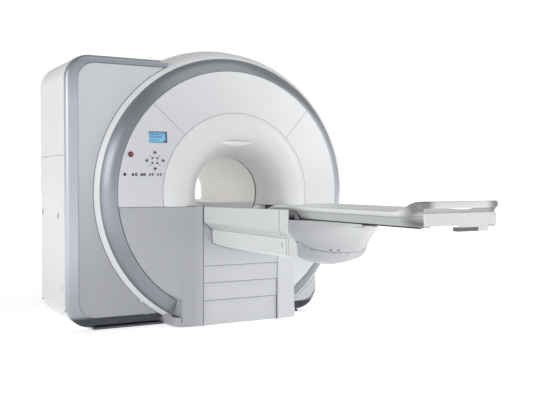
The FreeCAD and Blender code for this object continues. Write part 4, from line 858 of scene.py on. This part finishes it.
def make_rear_fittings():
    """Vents, a service hatch and its screws on the back."""
    back = (0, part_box("rear_cover")[1].y, 0)
    vents = [plate(u, VENT_Z + VENT_STEP * i, 0.13, 0.0055, 0.0054)
             for u in (-VENT_X, VENT_X) for i in range(VENT_ROWS)]
    hatch, joint = (plate(0, HATCH_MIDDLE, HATCH_X + gap, HATCH_Z + gap, radius)
                    for gap, radius in ((0, 0.02), (HATCH_GAP, 0.022)))
    screws = [disc(u, v, 0.006) for v in (0.125, 0.315) for u in (-0.275, 0.275)]
    for name, outlines, finish, slot, rise in (
            ("rear_vents", vents, gap_shade_dark, "grey_panel", 0.0008),
            ("rear_hatch_joint", [joint], gap_shade_dark, "seal", 0.0004),
            ("rear_hatch", [hatch], covers, "white_cover", 0.002),
            ("rear_hatch_screws", screws, steel_plate, "steel", 0.0035)):
        inlay(name, outlines, back, (-1, 0, 0), (0, 0, 1), finish, "gantry", slot, rise)


# ---- Brow over the bore and the joint on the shoulder ----

BROW_X = (-0.165, 0.145)
BROW_Z = 1.466
BROW_STEPS = 24
BROW_BOW = 0.006
LENS_BANDS = ((0.0, 0.014), (0.014, 0.026), (0.026, 0.038))      # from, to, below the brow's line
BORE_AXIS_Z = 1.05
SHOULDER_FROM, SHOULDER_TO = (-0.46, 1.110), (-0.52, 1.172)      # x, distance from the bore's axis


def make_brow():
    """Glazed lens over the bore's mouth, whose glow is a painted highlight, with a painted shadow line over
    it.
    """
    middle, half = (BROW_X[0] + BROW_X[1]) / 2, (BROW_X[1] - BROW_X[0]) / 2
    xs = [BROW_X[0] + (BROW_X[1] - BROW_X[0]) * i / BROW_STEPS for i in range(BROW_STEPS + 1)]

    def bow(x):
        return max(0.0, 1.0 - ((x - middle) / half) ** 2)

    def line(drop, gap=0.0):
        return lambda x: BROW_Z + (BROW_BOW - drop) * bow(x) - gap

    for i, (start, end) in enumerate(LENS_BANDS):
        marks("brow_lens_%d" % i, ribbon_over(xs, line(end, 0.0004), line(start)), face_of("front_funnel"),
              lens_white, "gantry", "lens", 0.0034 - 0.0010 * i)
    marks("brow_line", ribbon_over(xs, line(0.0012), line(-0.0042)), face_of("front_funnel"), brow_shadow_grey,
          "gantry", "seal", 0.0044)


def make_shoulder_joint():
    """Joint line across the drum's shoulder, next to the upper end of the band, dark as painted shade in the
    seam.
    """
    (x0, r0), (x1, r1) = SHOULDER_FROM, SHOULDER_TO
    spots = [(x0 + (x1 - x0) * i / 8, r0 + (r1 - r0) * i / 8) for i in range(9)]
    line = [(x, BORE_AXIS_Z + math.sqrt(r * r - x * x)) for x, r in spots]
    shapes = [[(ax - 0.0016, az), (ax + 0.0016, az), (bx + 0.0016, bz), (bx - 0.0016, bz)]
              for (ax, az), (bx, bz) in zip(line, line[1:])]
    marks("shoulder_joint", shapes, face_of("drum_cover"), joint_shade_and_fittings, "gantry", "seal", 0.0005)


# ---- Keys, marks and display ----

ARROW = [(-0.80, -0.28), (0.80, -0.28), (0.0, 0.62)]
ARROW_FOOT = [(-0.55, -0.58), (0.55, -0.58), (0.55, -0.40), (-0.55, -0.40)]
RAY = [(0.036, -0.0016), (0.060, -0.0016), (0.060, 0.0016), (0.036, 0.0016)]
LEANING_BLOCK = [[(-0.8, -0.9), (0.8, -0.9), (0.8, 0.2), (0.45, 0.9), (-0.25, 0.9)]]
SPLIT_BLOCK = [[(-0.8, -0.9), (0.15, -0.9), (0.15, 0.9), (-0.8, 0.9)],
               [(0.35, -0.9), (0.8, -0.9), (0.8, -0.3), (0.35, -0.3)],
               [(0.35, 0.3), (0.8, 0.3), (0.8, 0.9), (0.35, 0.9)]]
ROW_X = (-0.939, -0.878, -0.851, -0.812, -0.789, -0.748, -0.724, -0.687, -0.662)
ROW_Z = 1.197
ROW_LARGE, ROW_SMALL = 0.0115, 0.0092
LARGE_MARKS = 5


def centre_of(node):
    """The middle of a round node's front, its radius, its front and its back."""
    low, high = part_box(node)
    return (low.x + high.x) / 2, (low.z + high.z) / 2, (high.x - low.x) / 2, low.y, high.y


def make_keys():
    for key, turn in (("up_key", 0), ("left_key", 90), ("down_key", 180), ("right_key", -90)):
        x, z, radius, front, back = centre_of(key)
        cap = lathe([(0.0006, front - 0.0001), (radius * 0.6, front), (radius * 0.88, front + 0.0003),
                     (radius, front + 0.0016), (radius, back)], x, z, key + "_cap", face_white)
        fit(cap, key, "white_cover", key)
        shapes = [turned_shape(points, x, z, turn, radius * 1.12) for points in (ARROW, ARROW_FOOT)]
        marks(key + "_arrow", shapes, lambda u, v, y=front: y, key_print, key, "key_black")


def make_cross():
    """Print round the centre of the four keys."""
    up_low, up_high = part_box("up_key")
    x, z = (up_low.x + up_high.x) / 2, (up_high.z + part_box("down_key")[0].z) / 2
    shapes = []
    for quarter in (45, 135, 225, 315):
        shapes += arc_strip(x, z, 0.021, 0.0105, quarter - 22, quarter + 22)
        shapes.append(turned_shape(RAY, x, z, quarter, 1.0))
    marks("centre_print", shapes, face_of("left_face_panel"), key_print, "gantry", "key_black")


def make_row():
    """Nine membrane marks under the keys: a dot and four pairs of plain figures."""
    for i, x in enumerate(ROW_X):
        size = ROW_LARGE if i < LARGE_MARKS else ROW_SMALL
        if i == 0:
            shapes = [disc(x, ROW_Z, size, 20)]
        else:
            shapes = [turned_shape(points, x, ROW_Z, 0, size)
                      for points in (LEANING_BLOCK if i % 2 else SPLIT_BLOCK)]
        pad = front_of("control_board", x, ROW_Z)

        def surface(u, v, pad=pad):
            return min(pad, front_of("left_face_panel", u, v) or pad)

        marks("row_mark_%d" % i, shapes, surface, key_print, "gantry", "key_black")


def make_stop_button():
    x, z, radius, low, back = centre_of("stop_button")
    front = low - 0.006
    dome = lathe([(0.0005, front), (radius * 0.35, front + 0.0002), (radius * 0.7, front + 0.0012),
                  (radius * 0.9, front + 0.0028), (radius * 0.99, front + 0.005), (radius, front + 0.007),
                  (radius * 0.9, front + 0.0085), (radius * 0.8, back)], x, z, "stop_dome", red_cap)
    fit(dome, "stop_button", "key_red", "stop_button")
    bar = boxed(x - 0.011, x + 0.004, z - 0.0015, z + 0.0015)
    marks("stop_mark", arc_strip(x, z, radius * 0.32, 0.003, -60, 200) + [bar],
          lambda u, v: front + 0.0003, pale_print, "stop_button", "key_red", 0.0012)
    seat = front_of("left_face_panel", x + radius * 1.3, z)
    ring = lathe([(radius * 1.03, seat + 0.004), (radius * 1.03, seat - 0.002),
                  (radius * 1.12, seat - 0.003), (radius * 1.24, seat - 0.0015),
                  (radius * 1.28, seat + 0.004)], x, z, "stop_collar", face_white)
    fit(ring, "gantry", "white_cover")


def make_display():
    """Dark edges, rows of plain bars and a round mark on the screen."""
    low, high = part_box("display_screen")
    glass = face_of("display_screen")
    x0, x1, z0, z1 = low.x, high.x, low.z, high.z
    inside, side, top, foot, bar = 0.0012, 0.013, 0.006, 0.004, 0.0042
    bezel = [(x0, x1, z1 - top, z1 - inside), (x1 - side, x1 - inside, z0 + inside, z1 - top),
             (x0 + inside, x1 - side, z0 + inside, z0 + foot)]
    rows = ((z1 - 0.024, ((0.10, 0.34), (0.42, 0.60))),
            (z1 - 0.043, ((0.08, 0.16), (0.19, 0.28), (0.31, 0.38), (0.44, 0.56), (0.62, 0.82))),
            (z1 - 0.049, ((0.08, 0.13), (0.19, 0.28), (0.33, 0.38), (0.47, 0.56), (0.66, 0.74))),
            (z0 + 0.018, ((0.10, 0.52), (0.60, 0.70))))
    wide = x1 - x0 - 0.02
    figures = [(x0 + a * wide, x0 + b * wide, z, z + bar) for z, spans in rows for a, b in spans]
    for name, boxes, finish, lift in (("display_bezel", bezel, bezel_grey, 0.0012),
                                      ("display_figures", figures, display_ink, 0.0008)):
        marks(name, [boxed(*box) for box in boxes], glass, finish, "gantry", "screen", lift)
    knob = disc(x1 - 0.022, z0 + 0.012, 0.006, 20)
    marks("display_knob", [knob], glass, key_print, "gantry", "screen", 0.0025)


for make in (make_nose, make_tabletop, make_slat_lines, make_arm_lines, make_fascia_lines,
             make_cover_screws, make_nose_studs, make_upstands, make_side_fittings, make_arm_fittings,
             make_rear_fittings, make_brow, make_shoulder_joint, make_keys, make_cross, make_row,
             make_stop_button, make_display):
    make()
